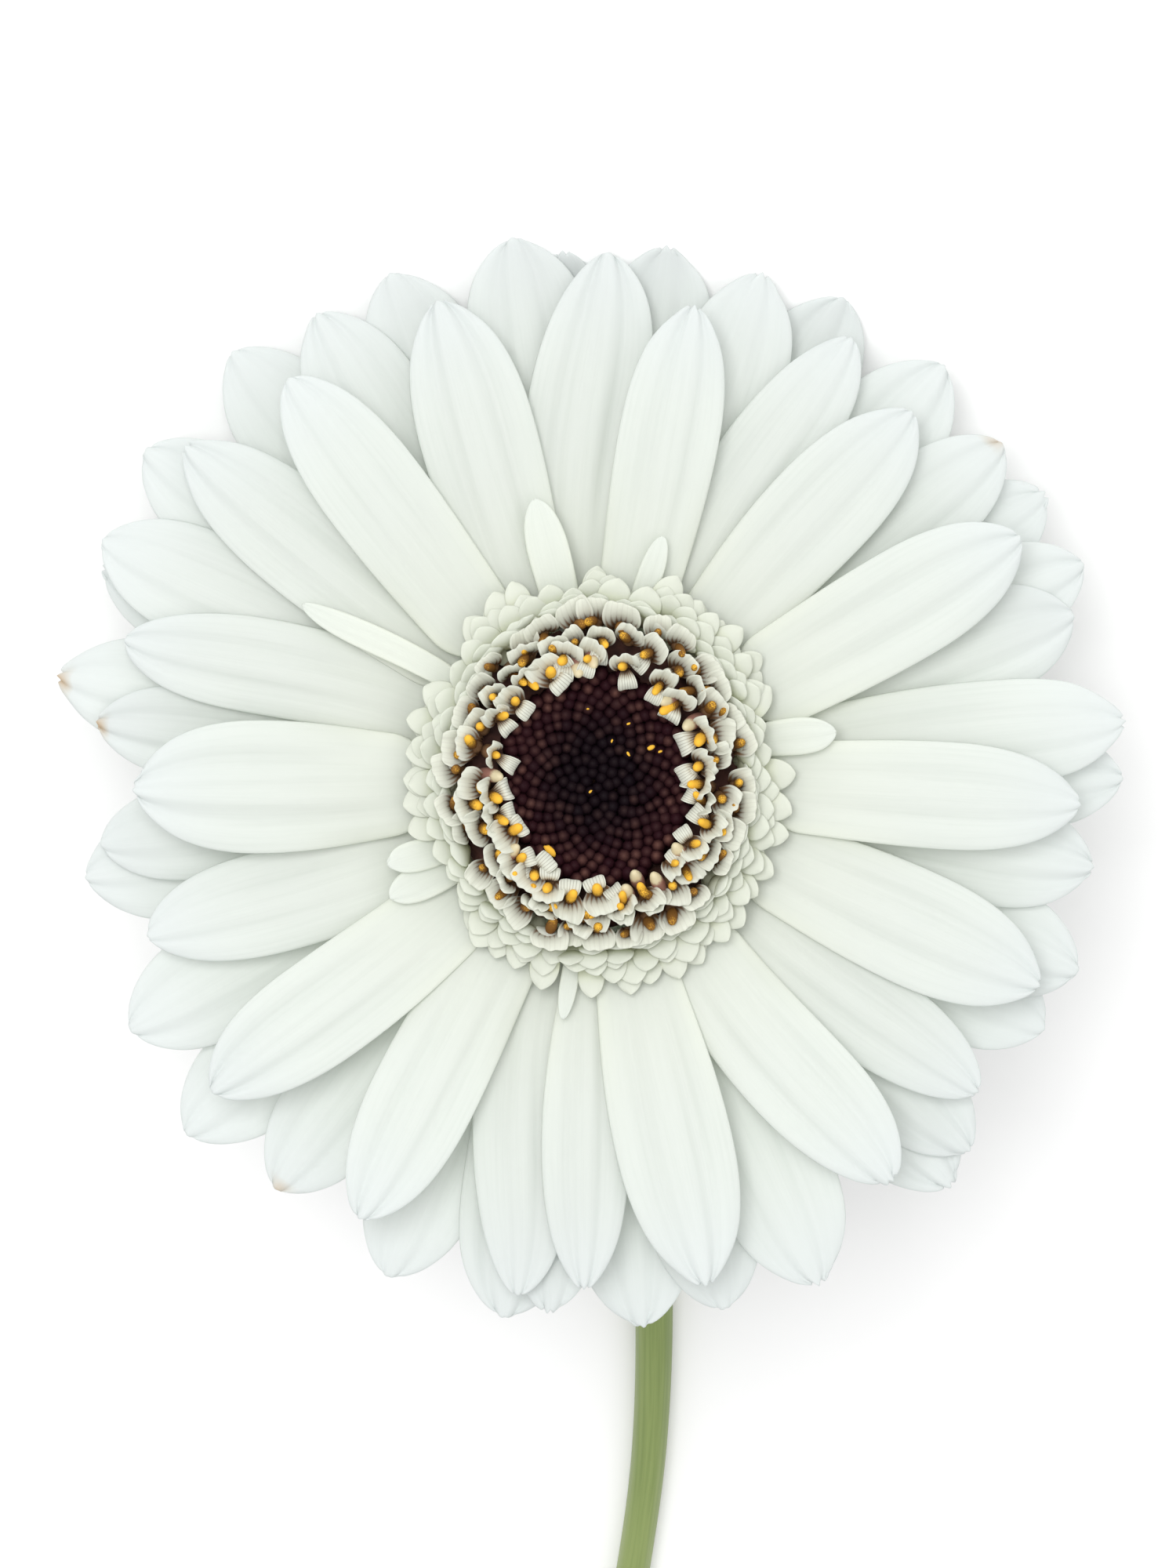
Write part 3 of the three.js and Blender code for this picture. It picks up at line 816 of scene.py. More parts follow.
def build_petal(name, petal, look, along=28, across=14, tint_end=1.0, browned=0.0, replaces=()):
    """Shapes a flat grid into one petal."""
    material = bpy.data.materials.get("ray_petal_tissue") or petal_tissue(look)
    bm = tissue_mesh()
    browning = bm.verts.layers.float.new("browning")
    add_grid(bm, along, across, tint_end)
    wall = look.thickness / MM
    groove = look.groove / MM
    bow = look.bow / MM
    for vertex in bm.verts:
        s = 1.0 - (0.5 - vertex.co.x) ** 1.25
        t = 2.0 * vertex.co.y
        speck = bell((t - 0.25 + petal.teeth_shift) / 0.45)
        vertex[browning] = browned * ramp(0.965, 0.995, s) * speck
        vertex.co = petal.point(s, t, groove, bow)
    put_on_head(bm)
    press_on_floor(bm, wall)
    piece = finish_piece(name, bm, [material], replaces, wall=look.thickness, smoothing=1)
    for node in replaces:
        check_place(piece, node)
    return piece


def check_place(piece, node):
    """Stops when a piece isn't where its node is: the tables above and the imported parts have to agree."""
    low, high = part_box(node)
    corners = [vertex.co for vertex in piece.data.vertices]
    for axis in range(3):
        piece_low = min(corner[axis] for corner in corners)
        piece_high = max(corner[axis] for corner in corners)
        if max(abs(piece_low - low[axis]), abs(piece_high - high[axis])) > 1.6 * MM:
            raise RuntimeError(f"{piece.name} is not where {node} is")


class GERBERA_OT_front_petals(bpy.types.Operator):
    """Builds the front row of ray petals"""

    bl_idname = "gerbera.front_petals"
    bl_label = "Front petals"

    def execute(self, context):
        look = context.scene.gerbera_petals
        for order, row in enumerate(FRONT_PETALS):
            *arch, rim_width = row
            foot_share = (rim_width / row[3] - RIM_SHARE) / (1.0 - RIM_SHARE)
            petal = ray_petal(arch, foot_share, order, FRONT_ROUNDNESS, 100 + order)
            rank = row[4]
            before = FRONT_PETALS[order - 1][4]
            after = FRONT_PETALS[(order + 1) % len(FRONT_PETALS)][4]
            plain_edges = (resting_edge(rank, before), resting_edge(rank, after))
            petal.foot_edges, petal.tilt_fades = foot_edges(FRONT_PETALS, row, plain_edges)
            number = f"{order + 1:02d}"
            build_petal(f"ray_front_{number}", petal, look, replaces=[f"front_petal_{number}"])
        return {"FINISHED"}


class GERBERA_OT_back_petals(bpy.types.Operator):
    """Builds the rows of ray petals behind the front row"""

    bl_idname = "gerbera.back_petals"
    bl_label = "Back petals"

    def execute(self, context):
        look = context.scene.gerbera_petals
        rows = [*BACK_PETALS, HIDDEN_PETAL]
        for order, row in enumerate(rows):
            petal = ray_petal(row, BACK_FOOT_SHARE, order, BACK_ROUNDNESS, 200 + order)
            petal.foot_edges, petal.tilt_fades = foot_edges(rows, row, petal.foot_edges)
            name = f"ray_back_{order + 1:02d}"
            replaces = [f"back_petal_{order + 1:02d}"] if order < len(BACK_PETALS) else []
            build_petal(name, petal, look, browned=BROWNED_TIPS.get(name, 0.0), replaces=replaces)
        return {"FINISHED"}


class GERBERA_OT_small_petals(bpy.types.Operator):
    """Builds the few small petals that stand between the disc and the rays"""

    bl_idname = "gerbera.small_petals"
    bl_label = "Small petals"

    def execute(self, context):
        look = context.scene.gerbera_petals
        for order, row in enumerate(SMALL_PETALS):
            foot, tip, reach, width, tip_height, arch = row
            foot_radius, height = SMALL_FOOT
            rise = tip_height - height + arch
            sizes = (foot_radius, reach, width, SMALL_FOOT_SHARE, height, rise, arch, SMALL_ROUNDNESS)
            petal = Petal(foot, tip, *sizes, 300 + order)
            petal.roll = 0.0
            build_petal(f"small_petal_{order + 1}", petal, look, along=14, across=8, tint_end=0.4)
        return {"FINISHED"}


# Disc florets


def disc_place(radius, angle, height):
    """A place on the disc, whose rings are a little taller than wide, with the direction that leads outward there."""
    x = radius * (1.0 - TALL) * math.cos(angle)
    y = radius * (1.0 + TALL) * math.sin(angle)
    return Vector((x, y, height)), math.atan2(y, x)


def floret_seat(place, outward, lean=0.0, twist=0.0):
    """Frame of a floret: +X away from the flower's axis, +Z up. A lean above 0 tips it outward."""
    return Matrix.Translation(place) @ Matrix.Rotation(outward + twist, 4, "Z") @ Matrix.Rotation(lean, 4, "Y")


def bezier(points, share):
    """Place and direction on a plane curve of four control points."""
    a, b, c, d = (Vector(point) for point in points)
    rest = 1.0 - share
    place = a * rest**3 + b * 3.0 * rest * rest * share + c * 3.0 * rest * share * share + d * share**3
    run = (b - a) * rest * rest + (c - b) * 2.0 * rest * share + (d - c) * share * share
    return place, run.normalized()


def add_tongue(bm, seat, path, width, shape, steps, crowding=1.0, layer=None, value=0.0):
    """A strap that follows a path in the seat's XZ plane. shape(a, t) gives its share of the full width, how far it
    stands off the path and how far its end runs on, at share a along and t across, from -1 to 1. A crowding above 1
    brings more of its steps to its end. All its corners keep the value in the layer, if there is one."""
    along, across = steps
    for vertex in add_grid(bm, along, across):
        a = 1.0 - (0.5 - vertex.co.x) ** crowding
        t = 2.0 * vertex.co.y
        place, run = bezier(path, a)
        share, off, on = shape(a, t)
        x = place.x - run.y * off + run.x * on
        z = place.y + run.x * off + run.y * on
        vertex.co = seat @ Vector((x, 0.5 * width * share * t, z))
        if layer:
            vertex[layer] = value


def trans_shape(dome, roll):
    """Tongue of a trans floret: an egg-shaped blade with a faint midrib and edges that bend down."""

    def shape(a, t):
        end = min(max(a - 0.58, 0.0) / 0.42, 1.0)
        share = mix(0.35, 1.0, ramp(0.1, 0.6, a)) * (1.0 - end**2.1) ** 0.5
        off = -dome * t * t * (1.0 - 0.3 * a) + roll * t * a + 0.05 * bell(t / 0.16) * (1.0 - a)
        return max(share, 0.14), off, 0.08 * (1.0 - t * t) * ramp(0.9, 1.0, a)

    return shape


def by_small_petal(angle, radius, width, room):
    """Whether a tongue would stand in the way of a small petal."""
    for foot, _, _, petal_width, _, _ in SMALL_PETALS:
        turn = (angle - math.radians(foot) + math.pi) % math.tau - math.pi
        if abs(turn) * radius < room * (petal_width + width):
            return True
    return False


class GERBERA_OT_trans_florets(bpy.types.Operator):
    """Builds the ring of small rounded tongues round the disc"""

    bl_idname = "gerbera.trans_florets"
    bl_label = "Trans florets"

    def execute(self, context):
        look = context.scene.gerbera_disc
        material = trans_tissue(look)
        chance = random.Random(41)
        for order, (count, radius, height, reach, width, outward_lean) in enumerate(TRANS_ROWS):
            bm = tissue_mesh()
            for i in range(count):
                angle = math.tau * (i + 0.5 * (order % 2) + chance.uniform(-0.25, 0.25)) / count
                if order < len(TRANS_ROOM) and by_small_petal(angle, radius, width, TRANS_ROOM[order]):
                    continue
                size = chance.uniform(0.84, 1.2)
                place, outward = disc_place(
                    radius + chance.uniform(-0.4, 0.3), angle, height + chance.uniform(-0.2, 0.25)
                )
                lean = chance.uniform(-0.3, 0.05) + outward_lean
                seat = floret_seat(place, outward, lean, chance.uniform(-0.25, 0.25))
                run = reach * size
                stand_radius, stand_height = FLANK_STAND if order < FLANK_ROWS else RIM_STAND
                stand = (stand_radius - radius, stand_height - height)
                path = [stand, (-run, -0.2), (-run * 0.45, 0.25), (0.0, 0.3)]
                shape = trans_shape(chance.uniform(0.12, 0.28), chance.uniform(0.04, 0.2))
                add_tongue(bm, seat, path, width * size, shape, (8, 5), crowding=1.7)
            put_on_head(bm)
            replaces = ["trans_florets"] if order == 0 else []
            name = f"trans_floret_row_{order + 1}"
            finish_piece(name, bm, [material], replaces, wall=look.lip_thickness, smoothing=1)
        return {"FINISHED"}


def outer_lip_shape(cup, ruffle, roll, phase, skew):
    """Outer lip of an open floret: its foot cups round the anthers, its end is cut askew into ruffled teeth."""

    def shape(a, t):
        share = mix(0.45, 1.0, ramp(0.1, 0.75, a)) * (1.0 - 0.14 * ramp(0.75, 1.0, a))
        wave = math.sin(2.1 * math.pi * t + phase)
        off = cup * t * t * (1.0 - 0.75 * ramp(0.55, 1.0, a)) + roll * t * ramp(0.3, 0.8, a)
        off += ruffle * wave * ramp(0.5, 1.0, a)
        teeth = 0.07 * math.cos(3.0 * math.pi * t) + 0.6 * ruffle * math.sin(4.0 * math.pi * t - phase)
        return share, off, (0.2 * (1.0 - t * t) + skew * t + teeth) * ramp(0.6, 1.0, a)

    return shape


def inner_lip_shape(phase):
    """Inner lip of an open floret: a fan-shaped strap with a blunt, notched end."""

    def shape(a, t):
        share = mix(0.45, 1.0, ramp(0.2, 0.85, a))
        teeth = 0.05 * math.cos(4.0 * math.pi * t + phase)
        return share, -0.25 * t * t * a, (0.34 * (1.0 - t * t) + teeth - 0.12) * ramp(0.7, 1.0, a)

    return shape


def add_anther(bm, upward, seat, width, height, pollen):
    """A blunt column on its seat, with how far up each corner stands kept for its colour."""
    made = bmesh.ops.create_uvsphere(bm, u_segments=8, v_segments=8, radius=1.0)
    for vertex in made["verts"]:
        z = vertex.co.z
        vertex[upward] = (0.5 + 0.5 * z) * pollen
        waist = 1.0 - 0.12 * bell((z - 0.35) / 0.2)
        side = max(1.0 - abs(z) ** 3.2, 0.0) ** 0.5 / max(math.sqrt(1.0 - z * z), 1e-6) if abs(z) < 1.0 else 0.0
        vertex.co = seat @ Vector(
            (vertex.co.x * side * waist * 0.5 * width, vertex.co.y * side * waist * 0.5 * width, z * 0.5 * height)
        )


def open_places(order, height, chance):
    """Place of each anther of a row, and the direction that leads outward there."""
    if order < len(OUTER_OPEN_ROWS):
        count, radius = OUTER_OPEN_ROWS[order]
        for i in range(count):
            angle = math.radians(360.0 * (i + 0.5 * order + chance.uniform(-0.28, 0.28)) / count)
            out = radius + chance.uniform(-0.35, 0.35)
            yield disc_place(out, angle, height + chance.uniform(-0.25, 0.2))
        return
    # Measured places already hold the ring's taller shape
    for direction, out in INNER_OPEN_PLACES:
        angle = math.radians(direction)
        place = Vector((out * math.cos(angle), out * math.sin(angle), height + chance.uniform(-0.2, 0.15)))
        yield place, angle


class GERBERA_OT_open_florets(bpy.types.Operator):
    """Builds the rows of open disc florets, with their lips, tubes and anthers"""

    bl_idname = "gerbera.open_florets"
    bl_label = "Open florets"

    def execute(self, context):
        look = context.scene.gerbera_disc
        lip = lip_tissue(look)
        pollen = anther_pollen(look)
        chance = random.Random(57)
        for order, row in enumerate(OPEN_ROWS):
            height, reach, rise, width, ruffle, inner, lean, yellow = row
            lips = tissue_mesh()
            streaks = lips.verts.layers.float.new("streaking")
            anthers = tissue_mesh()
            upward = anthers.verts.layers.float.new("upward")
            for place, outward in open_places(order, height, chance):
                seat = floret_seat(place, outward, chance.uniform(-0.25, 0.25), chance.uniform(-0.45, 0.45))
                size = chance.uniform(0.82, 1.2)
                run = reach * size
                path = [(0.12, TUBE_FOOT), (0.16, -0.9), (0.4 * run, 0.6 * rise), (run, rise)]
                shape = outer_lip_shape(
                    OUTER_LIP_CUP * chance.uniform(0.7, 1.2),
                    ruffle * chance.uniform(0.6, 1.3),
                    chance.uniform(-0.25, 0.25),
                    chance.uniform(0.0, math.tau),
                    chance.uniform(-0.3, 0.3),
                )
                add_tongue(lips, seat, path, width * size, shape, (8, 9), layer=streaks, value=0.1)
                if chance.random() < inner:
                    back = chance.uniform(0.8, 1.15)
                    path = [(-0.15, TUBE_FOOT), (-0.3, -0.3), (-0.8 * back, 0.75), (-1.45 * back, -0.3)]
                    shape = inner_lip_shape(chance.uniform(0.0, 3.0))
                    # Its width counts backwards, so that its upper side faces up
                    across = -INNER_LIP_WIDTH * size
                    add_tongue(lips, seat, path, across, shape, (8, 6), layer=streaks, value=0.6)
                tube = seat @ Matrix.Translation((0.1, 0.0, -2.8))
                bmesh.ops.create_cone(
                    lips, segments=8, radius1=0.5, radius2=0.72, depth=3.2, cap_ends=True, matrix=tube
                )
                tilt = Matrix.Rotation(lean + chance.uniform(-0.35, 0.35), 4, "Y")
                sideways = Matrix.Rotation(chance.uniform(-0.35, 0.35), 4, "X")
                foot = seat @ Matrix.Translation((0.05, 0.0, -1.1))
                stand = foot @ tilt @ sideways @ Matrix.Translation((0.0, 0.0, 1.0))
                across, tall = ANTHER_SIZE
                add_anther(anthers, upward, stand, across * size, tall, yellow * chance.uniform(0.7, 1.15))
            replaces = ["open_florets"] if order == 0 else []
            name = f"open_floret_row_{order + 1}"
            put_on_head(lips)
            finish_piece(f"{name}_lips", lips, [lip], replaces, look.lip_thickness, smoothing=1)
            put_on_head(anthers)
            finish_piece(f"{name}_anthers", anthers, [pollen], smoothing=1)
        return {"FINISHED"}


def bud_places():
    """Tip of every closed floret, in the spiral in which they grow, with its share of the field's radius."""
    chance = random.Random(73)
    step = BUD_FIELD / math.sqrt(BUD_COUNT)
    for i in range(BUD_COUNT):
        radius = step * math.sqrt(i + 0.5)
        share = radius / BUD_FIELD
        height = mix(MIDDLE_HEIGHT, RIM_HEIGHT, share * share) + chance.uniform(-0.08, 0.08)
        angle = i * GOLDEN_ANGLE + chance.uniform(-0.09, 0.09) / max(radius, 0.5)
        tip, outward = disc_place(radius + chance.uniform(-0.08, 0.08), angle, height)
        yield tip, outward, share, chance.uniform(0.9, 1.08)


def bud_pattern(bm):
    """One ball, from which every bud of the mesh is copied."""
    made = bmesh.ops.create_uvsphere(bm, u_segments=8, v_segments=7, radius=1.0)
    return [*made["verts"], *bm.edges, *bm.faces]


def add_bud(bm, pattern, seat, across, tall, bluntness, marks):
    """A closed floret: a blunt club whose tip is at the seat. Each mark is a layer that goes from one value to another
    between two heights, in half lengths from its middle."""
    made = bmesh.ops.duplicate(bm, geom=pattern)["geom"]
    for vertex in made:
        if not isinstance(vertex, bmesh.types.BMVert):
            continue
        x, y, z = vertex.co
        for layer, low, high, start, end in marks:
            vertex[layer] = mix(start, end, ramp(low, high, z))
        if z > 0.0:
            side = across * ((1.0 - z**bluntness) / (1.0 - z * z)) ** 0.5 if z < 0.999 else 0.0
        else:
            side = across * (1.0 + 0.25 * z)
        vertex.co = seat @ Vector((x * side, y * side, (z - 1.0) * 0.5 * tall))


class GERBERA_OT_closed_florets(bpy.types.Operator):
    """Builds the spiral field of closed florets in the middle of the disc"""

    bl_idname = "gerbera.closed_florets"
    bl_label = "Closed florets"

    def execute(self, context):
        look = context.scene.gerbera_disc
        bm = tissue_mesh()
        pale = bm.verts.layers.float.new("pale")
        rimward = bm.verts.layers.float.new("outward")
        pattern = bud_pattern(bm)
        chance = random.Random(61)
        for tip, outward, share, size in bud_places():
            seat = floret_seat(tip, outward, -0.12 * share)
            paleness = mix(0.05, 1.0, share**2) * chance.uniform(0.05, 0.9) ** 1.4
            # Redder towards the rim; the darker middle is partly painted shade of the sunken field
            rim_red_and_middle_shade = ramp(0.3, 1.0, share)
            marks = [(pale, 0.85, 1.0, 0.0, paleness), (rimward, 0.0, 1.0, rim_red_and_middle_shade, rim_red_and_middle_shade)]
            add_bud(bm, pattern, seat, mix(0.52, 0.55, share) * size, tip.z - BUD_FOOT, BUD_BLUNTNESS, marks)
        bmesh.ops.delete(bm, geom=pattern, context="VERTS")
        put_on_head(bm)
        finish_piece("closed_floret_field", bm, [bud_skin(look)], ["closed_florets"])
        return {"FINISHED"}


class GERBERA_OT_opening_florets(bpy.types.Operator):
    """Builds the pale, round florets at the rim of the dark middle that are about to open"""

    bl_idname = "gerbera.opening_florets"
    bl_label = "Opening florets"

    def execute(self, context):
        look = context.scene.gerbera_disc
        bm = bmesh.new()
        upward = bm.verts.layers.float.new("upward")
        chance = random.Random(29)
        pattern = bud_pattern(bm)
        for x, y in OPENING_PLACES:
            place = Vector((x, y, OPENING_HEIGHT + chance.uniform(-0.15, 0.15)))
            seat = floret_seat(place, math.atan2(y, x), chance.uniform(-0.75, -0.4), chance.uniform(-0.4, 0.4))
            marks = [(upward, -0.1, 0.9, 0.0, 1.0)]
            across = OPENING_RADIUS * chance.uniform(0.9, 1.1)
            add_bud(bm, pattern, seat, across, OPENING_LENGTH, OPENING_BLUNTNESS, marks)
        bmesh.ops.delete(bm, geom=pattern, context="VERTS")
        put_on_head(bm)
        finish_piece("opening_florets", bm, [opening_skin(look)], smoothing=1)
        return {"FINISHED"}


class GERBERA_OT_pollen(bpy.types.Operator):
    """Scatters the few crumbs of pollen that lie on the closed florets"""

    bl_idname = "gerbera.pollen"
    bl_label = "Pollen crumbs"

    def execute(self, context):
        bm = bmesh.new()
        upward = bm.verts.layers.float.new("upward")
        chance = random.Random(31)
        tips = [tip for tip, _, _, _ in bud_places()]
        for x, y, size in POLLEN_CRUMBS:
            rest = min(tips, key=lambda tip: (tip.x - x) ** 2 + (tip.y - y) ** 2)
            made = bmesh.ops.create_icosphere(bm, subdivisions=2, radius=0.5 * size)
            turn = Matrix.Rotation(chance.uniform(0.0, math.pi), 4, "Z")
            for vertex in made["verts"]:
                lump = 1.0 + 0.35 * noise.noise(vertex.co * 4.0 / size + Vector((x, y, 0.0)))
                flat = Vector((vertex.co.x * 1.5 * lump, vertex.co.y * 0.8 * lump, vertex.co.z * 0.55 * lump))
                vertex[upward] = 1.0
                vertex.co = rest + Vector((0.0, 0.0, 0.2 * size)) + turn @ flat
        put_on_head(bm)
        material = bpy.data.materials.get("anther_pollen") or anther_pollen(context.scene.gerbera_disc)
        finish_piece("pollen_crumbs", bm, [material])
        return {"FINISHED"}


# Bracts and stalk


def along_profile(profile, share):
    """Radius, height and outward slope of a profile at a share of its length."""
    points = [Vector(point) for point in profile]
    lengths = [(b - a).length for a, b in zip(points, points[1:])]
    left = share * sum(lengths)
    for i, span in enumerate(lengths):
        if left <= span or i == len(lengths) - 1:
            place = points[i].lerp(points[i + 1], left / span)
            run = (points[i + 1] - points[i]).normalized()
            return place, run
        left -= span
    raise RuntimeError("a profile needs two points")


class GERBERA_OT_bracts(bpy.types.Operator):
    """Builds the cup of green bracts under the head"""

    bl_idname = "gerbera.bracts"
    bl_label = "Bracts"

    def execute(self, context):
        look = context.scene.gerbera_stalk
        material = bract_leaf(look)
        chance = random.Random(89)
        for order, (count, foot, tip, width, outside) in enumerate(BRACT_ROWS):
            bm = tissue_mesh()
            for i in range(count):
                angle = math.tau * (i + 0.37 * order + chance.uniform(-0.12, 0.12)) / count
                end = tip - chance.uniform(0.0, 0.08)
                full = width * chance.uniform(0.9, 1.1)
                for vertex in add_grid(bm, 10, 4):
                    a = vertex.co.x + 0.5
                    t = 2.0 * vertex.co.y
                    place, run = along_profile(CUP_PROFILE, mix(foot, end, a))
                    share = mix(0.5, 1.0, ramp(0.0, 0.4, a)) * (1.0 - ramp(0.4, 1.1, a)) ** 0.9 + 0.02
                    off = outside * ramp(0.0, 0.25, a) - 0.25 * t * t + 0.12 * bell(t / 0.2)
                    radius = place.x + run.y * off
                    across = 0.5 * full * share * t
                    turn = angle + across / max(radius, 2.5)
                    vertex.co = Vector((radius * math.cos(turn), radius * math.sin(turn), place.y - run.x * off))
            bmesh.ops.reverse_faces(bm, faces=bm.faces)
            put_on_head(bm)
            replaces = ["bract_cup"] if order == 0 else []
            finish_piece(f"bract_row_{order + 1}", bm, [material], replaces, BRACT_WALL * MM, smoothing=1)
        return {"FINISHED"}


def stalk_radius(distance):
    """Radius of the stalk at a distance below the neck."""
    for (place_a, size_a), (place_b, size_b) in zip(STALK_THICKNESS, STALK_THICKNESS[1:]):
        if distance <= place_b:
            return 0.5 * mix(size_a, size_b, ramp(place_a, place_b, distance))
    return 0.5 * STALK_THICKNESS[-1][1]


def stalk_points():
    """Points of the middle line, from the neck round the bend to the cut, in world millimetres."""
    neck = HEAD @ Vector((0.0, 0.0, NECK_HEIGHT))
    points = [HEAD @ Vector((0.0, 0.0, NECK_HEIGHT + 3.0)), neck]
    whole = 0.5 * math.pi - HEAD_TILT
    radius = BEND_LENGTH / whole
    for i in range(1, BEND_STEPS + 1):
        left = whole * (1.0 - i / BEND_STEPS)
        along = radius * (math.sin(whole) - math.sin(left))
        down = radius * (math.cos(left) - math.cos(whole))
        points.append(neck + Vector((BEND_SIDE_STEP * i / BEND_STEPS, -along, -down)))
    distance = BEND_LENGTH
    for sideways, place in STALK_ROUTE:
        last = points[-1]
        point = Vector((HEAD_CENTRE.x + sideways, HEAD_CENTRE.y + place, 0.0))
        distance += math.hypot(point.x - last.x, point.y - last.y)
        point.z = stalk_radius(distance)
        points.append(point)
    return points


def smooth_line(points, steps):
    """Centripetal Catmull-Rom line through the points."""
    ends = [2.0 * points[0] - points[1], *points, 2.0 * points[-1] - points[-2]]
    line = []
    for a, b, c, d in zip(ends, ends[1:], ends[2:], ends[3:]):
        t1 = math.sqrt((b - a).length)
        t2 = t1 + math.sqrt((c - b).length)
        t3 = t2 + math.sqrt((d - c).length)
        for step in range(steps):
            t = mix(t1, t2, step / steps)
            ab = a.lerp(b, t / t1)
            bc = b.lerp(c, (t - t1) / (t2 - t1))
            cd = c.lerp(d, (t - t2) / (t3 - t2))
            abc = ab.lerp(bc, t / t2)
            bcd = bc.lerp(cd, (t - t1) / (t3 - t1))
            line.append(abc.lerp(bcd, (t - t1) / (t2 - t1)))
    line.append(points[-1])
    return line


class GERBERA_OT_stalk(bpy.types.Operator):
    """Builds the stalk with the receptacle that it widens into"""

    bl_idname = "gerbera.stalk"
    bl_label = "Stalk"

    def execute(self, context):
        look = context.scene.gerbera_stalk
        line = smooth_line(stalk_points(), 12)[12:]
        rings = []
        distance = 0.0
        for i, place in enumerate(line):
            if i:
                distance += (place - line[i - 1]).length
            ahead = line[min(i + 1, len(line) - 1)]
            behind = line[max(i - 1, 0)]
            rings.append((place, (behind - ahead).normalized(), stalk_radius(distance)))
        rings.reverse()
        axis = (HEAD_TURN @ Vector((0.0, 0.0, 1.0))).normalized()
        rings[-1] = (rings[-1][0], axis, rings[-1][2])
        for radius, height in RECEPTACLE_PROFILE:
            rings.append((HEAD @ Vector((0.0, 0.0, height)), axis, radius))
        bm = tissue_mesh()
        for name in ("along", "round"):
            bm.verts.layers.float.new(name)
        along, round_it = (bm.verts.layers.float[name] for name in ("along", "round"))
        rib = look.rib / MM
        ring = bmesh.ops.create_circle(bm, segments=STALK_SIDES, radius=1.0, cap_ends=False)["verts"]
        for vertex in ring:
            angle = math.atan2(vertex.co.y, vertex.co.x)
            vertex.co *= 1.0 + RIB_SHARE * rib * math.cos(STALK_RIBS * angle)
        frame_now = rings[0][1].to_track_quat("Z", "Y")
        last = Matrix.Identity(4)
        edges = list(bm.edges)
        cut_edges = edges
        travelled = 0.0
        for number, (place, run, radius) in enumerate(rings):
            if number:
                travelled += (place - rings[number - 1][0]).length
                turn = rings[number - 1][1].rotation_difference(run)
                frame_now = turn @ frame_now
                made = bmesh.ops.extrude_edge_only(bm, edges=edges)["geom"]
                ring = [item for item in made if isinstance(item, bmesh.types.BMVert)]
                edges = [item for item in made if isinstance(item, bmesh.types.BMEdge)]
            now = Matrix.Translation(place) @ frame_now.to_matrix().to_4x4() @ Matrix.Scale(radius, 4)
            bmesh.ops.transform(bm, matrix=now @ last.inverted(), verts=ring)
            for vertex in ring:
                beside = now.inverted() @ vertex.co
                vertex[along] = travelled
                vertex[round_it] = math.atan2(beside.y, beside.x) / math.tau + 0.5
            last = now
        # The skin's UV map: millimetres along the stalk, and share of the way round it
        layer = bm.loops.layers.uv["along_across"]
        for face in bm.faces:
            shares = [vertex[round_it] for vertex in face.verts]
            seam = max(shares) - min(shares) > 0.5
            for loop in face.loops:
                share = loop.vert[round_it]
                loop[layer].uv = (loop.vert[along], share + 1.0 if seam and share < 0.5 else share)
        top = bmesh.ops.edgeloop_fill(bm, edges=edges)["faces"]
        bmesh.ops.poke(bm, faces=top)
        # The floor between the florets, painted in shade, starts inside the receptacle's rim
        inside = HEAD.inverted()
        for face in bm.faces:
            if (inside @ face.calc_center_median()).z > -0.4:
                face.material_index = 2
        cut = bmesh.ops.edgeloop_fill(bm, edges=cut_edges, mat_nr=1)["faces"]
        rind = bmesh.ops.inset_region(bm, faces=cut, thickness=0.2, depth=-0.05)["faces"]
        for face in rind:
            face.material_index = 0
        bmesh.ops.inset_region(bm, faces=cut, thickness=0.5, depth=-0.35)
        bmesh.ops.poke(bm, faces=cut)
        bmesh.ops.recalc_face_normals(bm, faces=bm.faces)
        for vertex in bm.verts:
            vertex.co.z = max(vertex.co.z, 0.02)
        skins = [stalk_skin(look), cut_pith(look), receptacle_floor_painted_shade(look)]
        finish_piece("stalk_with_receptacle", bm, skins, ["stem"])
        return {"FINISHED"}


# Stage


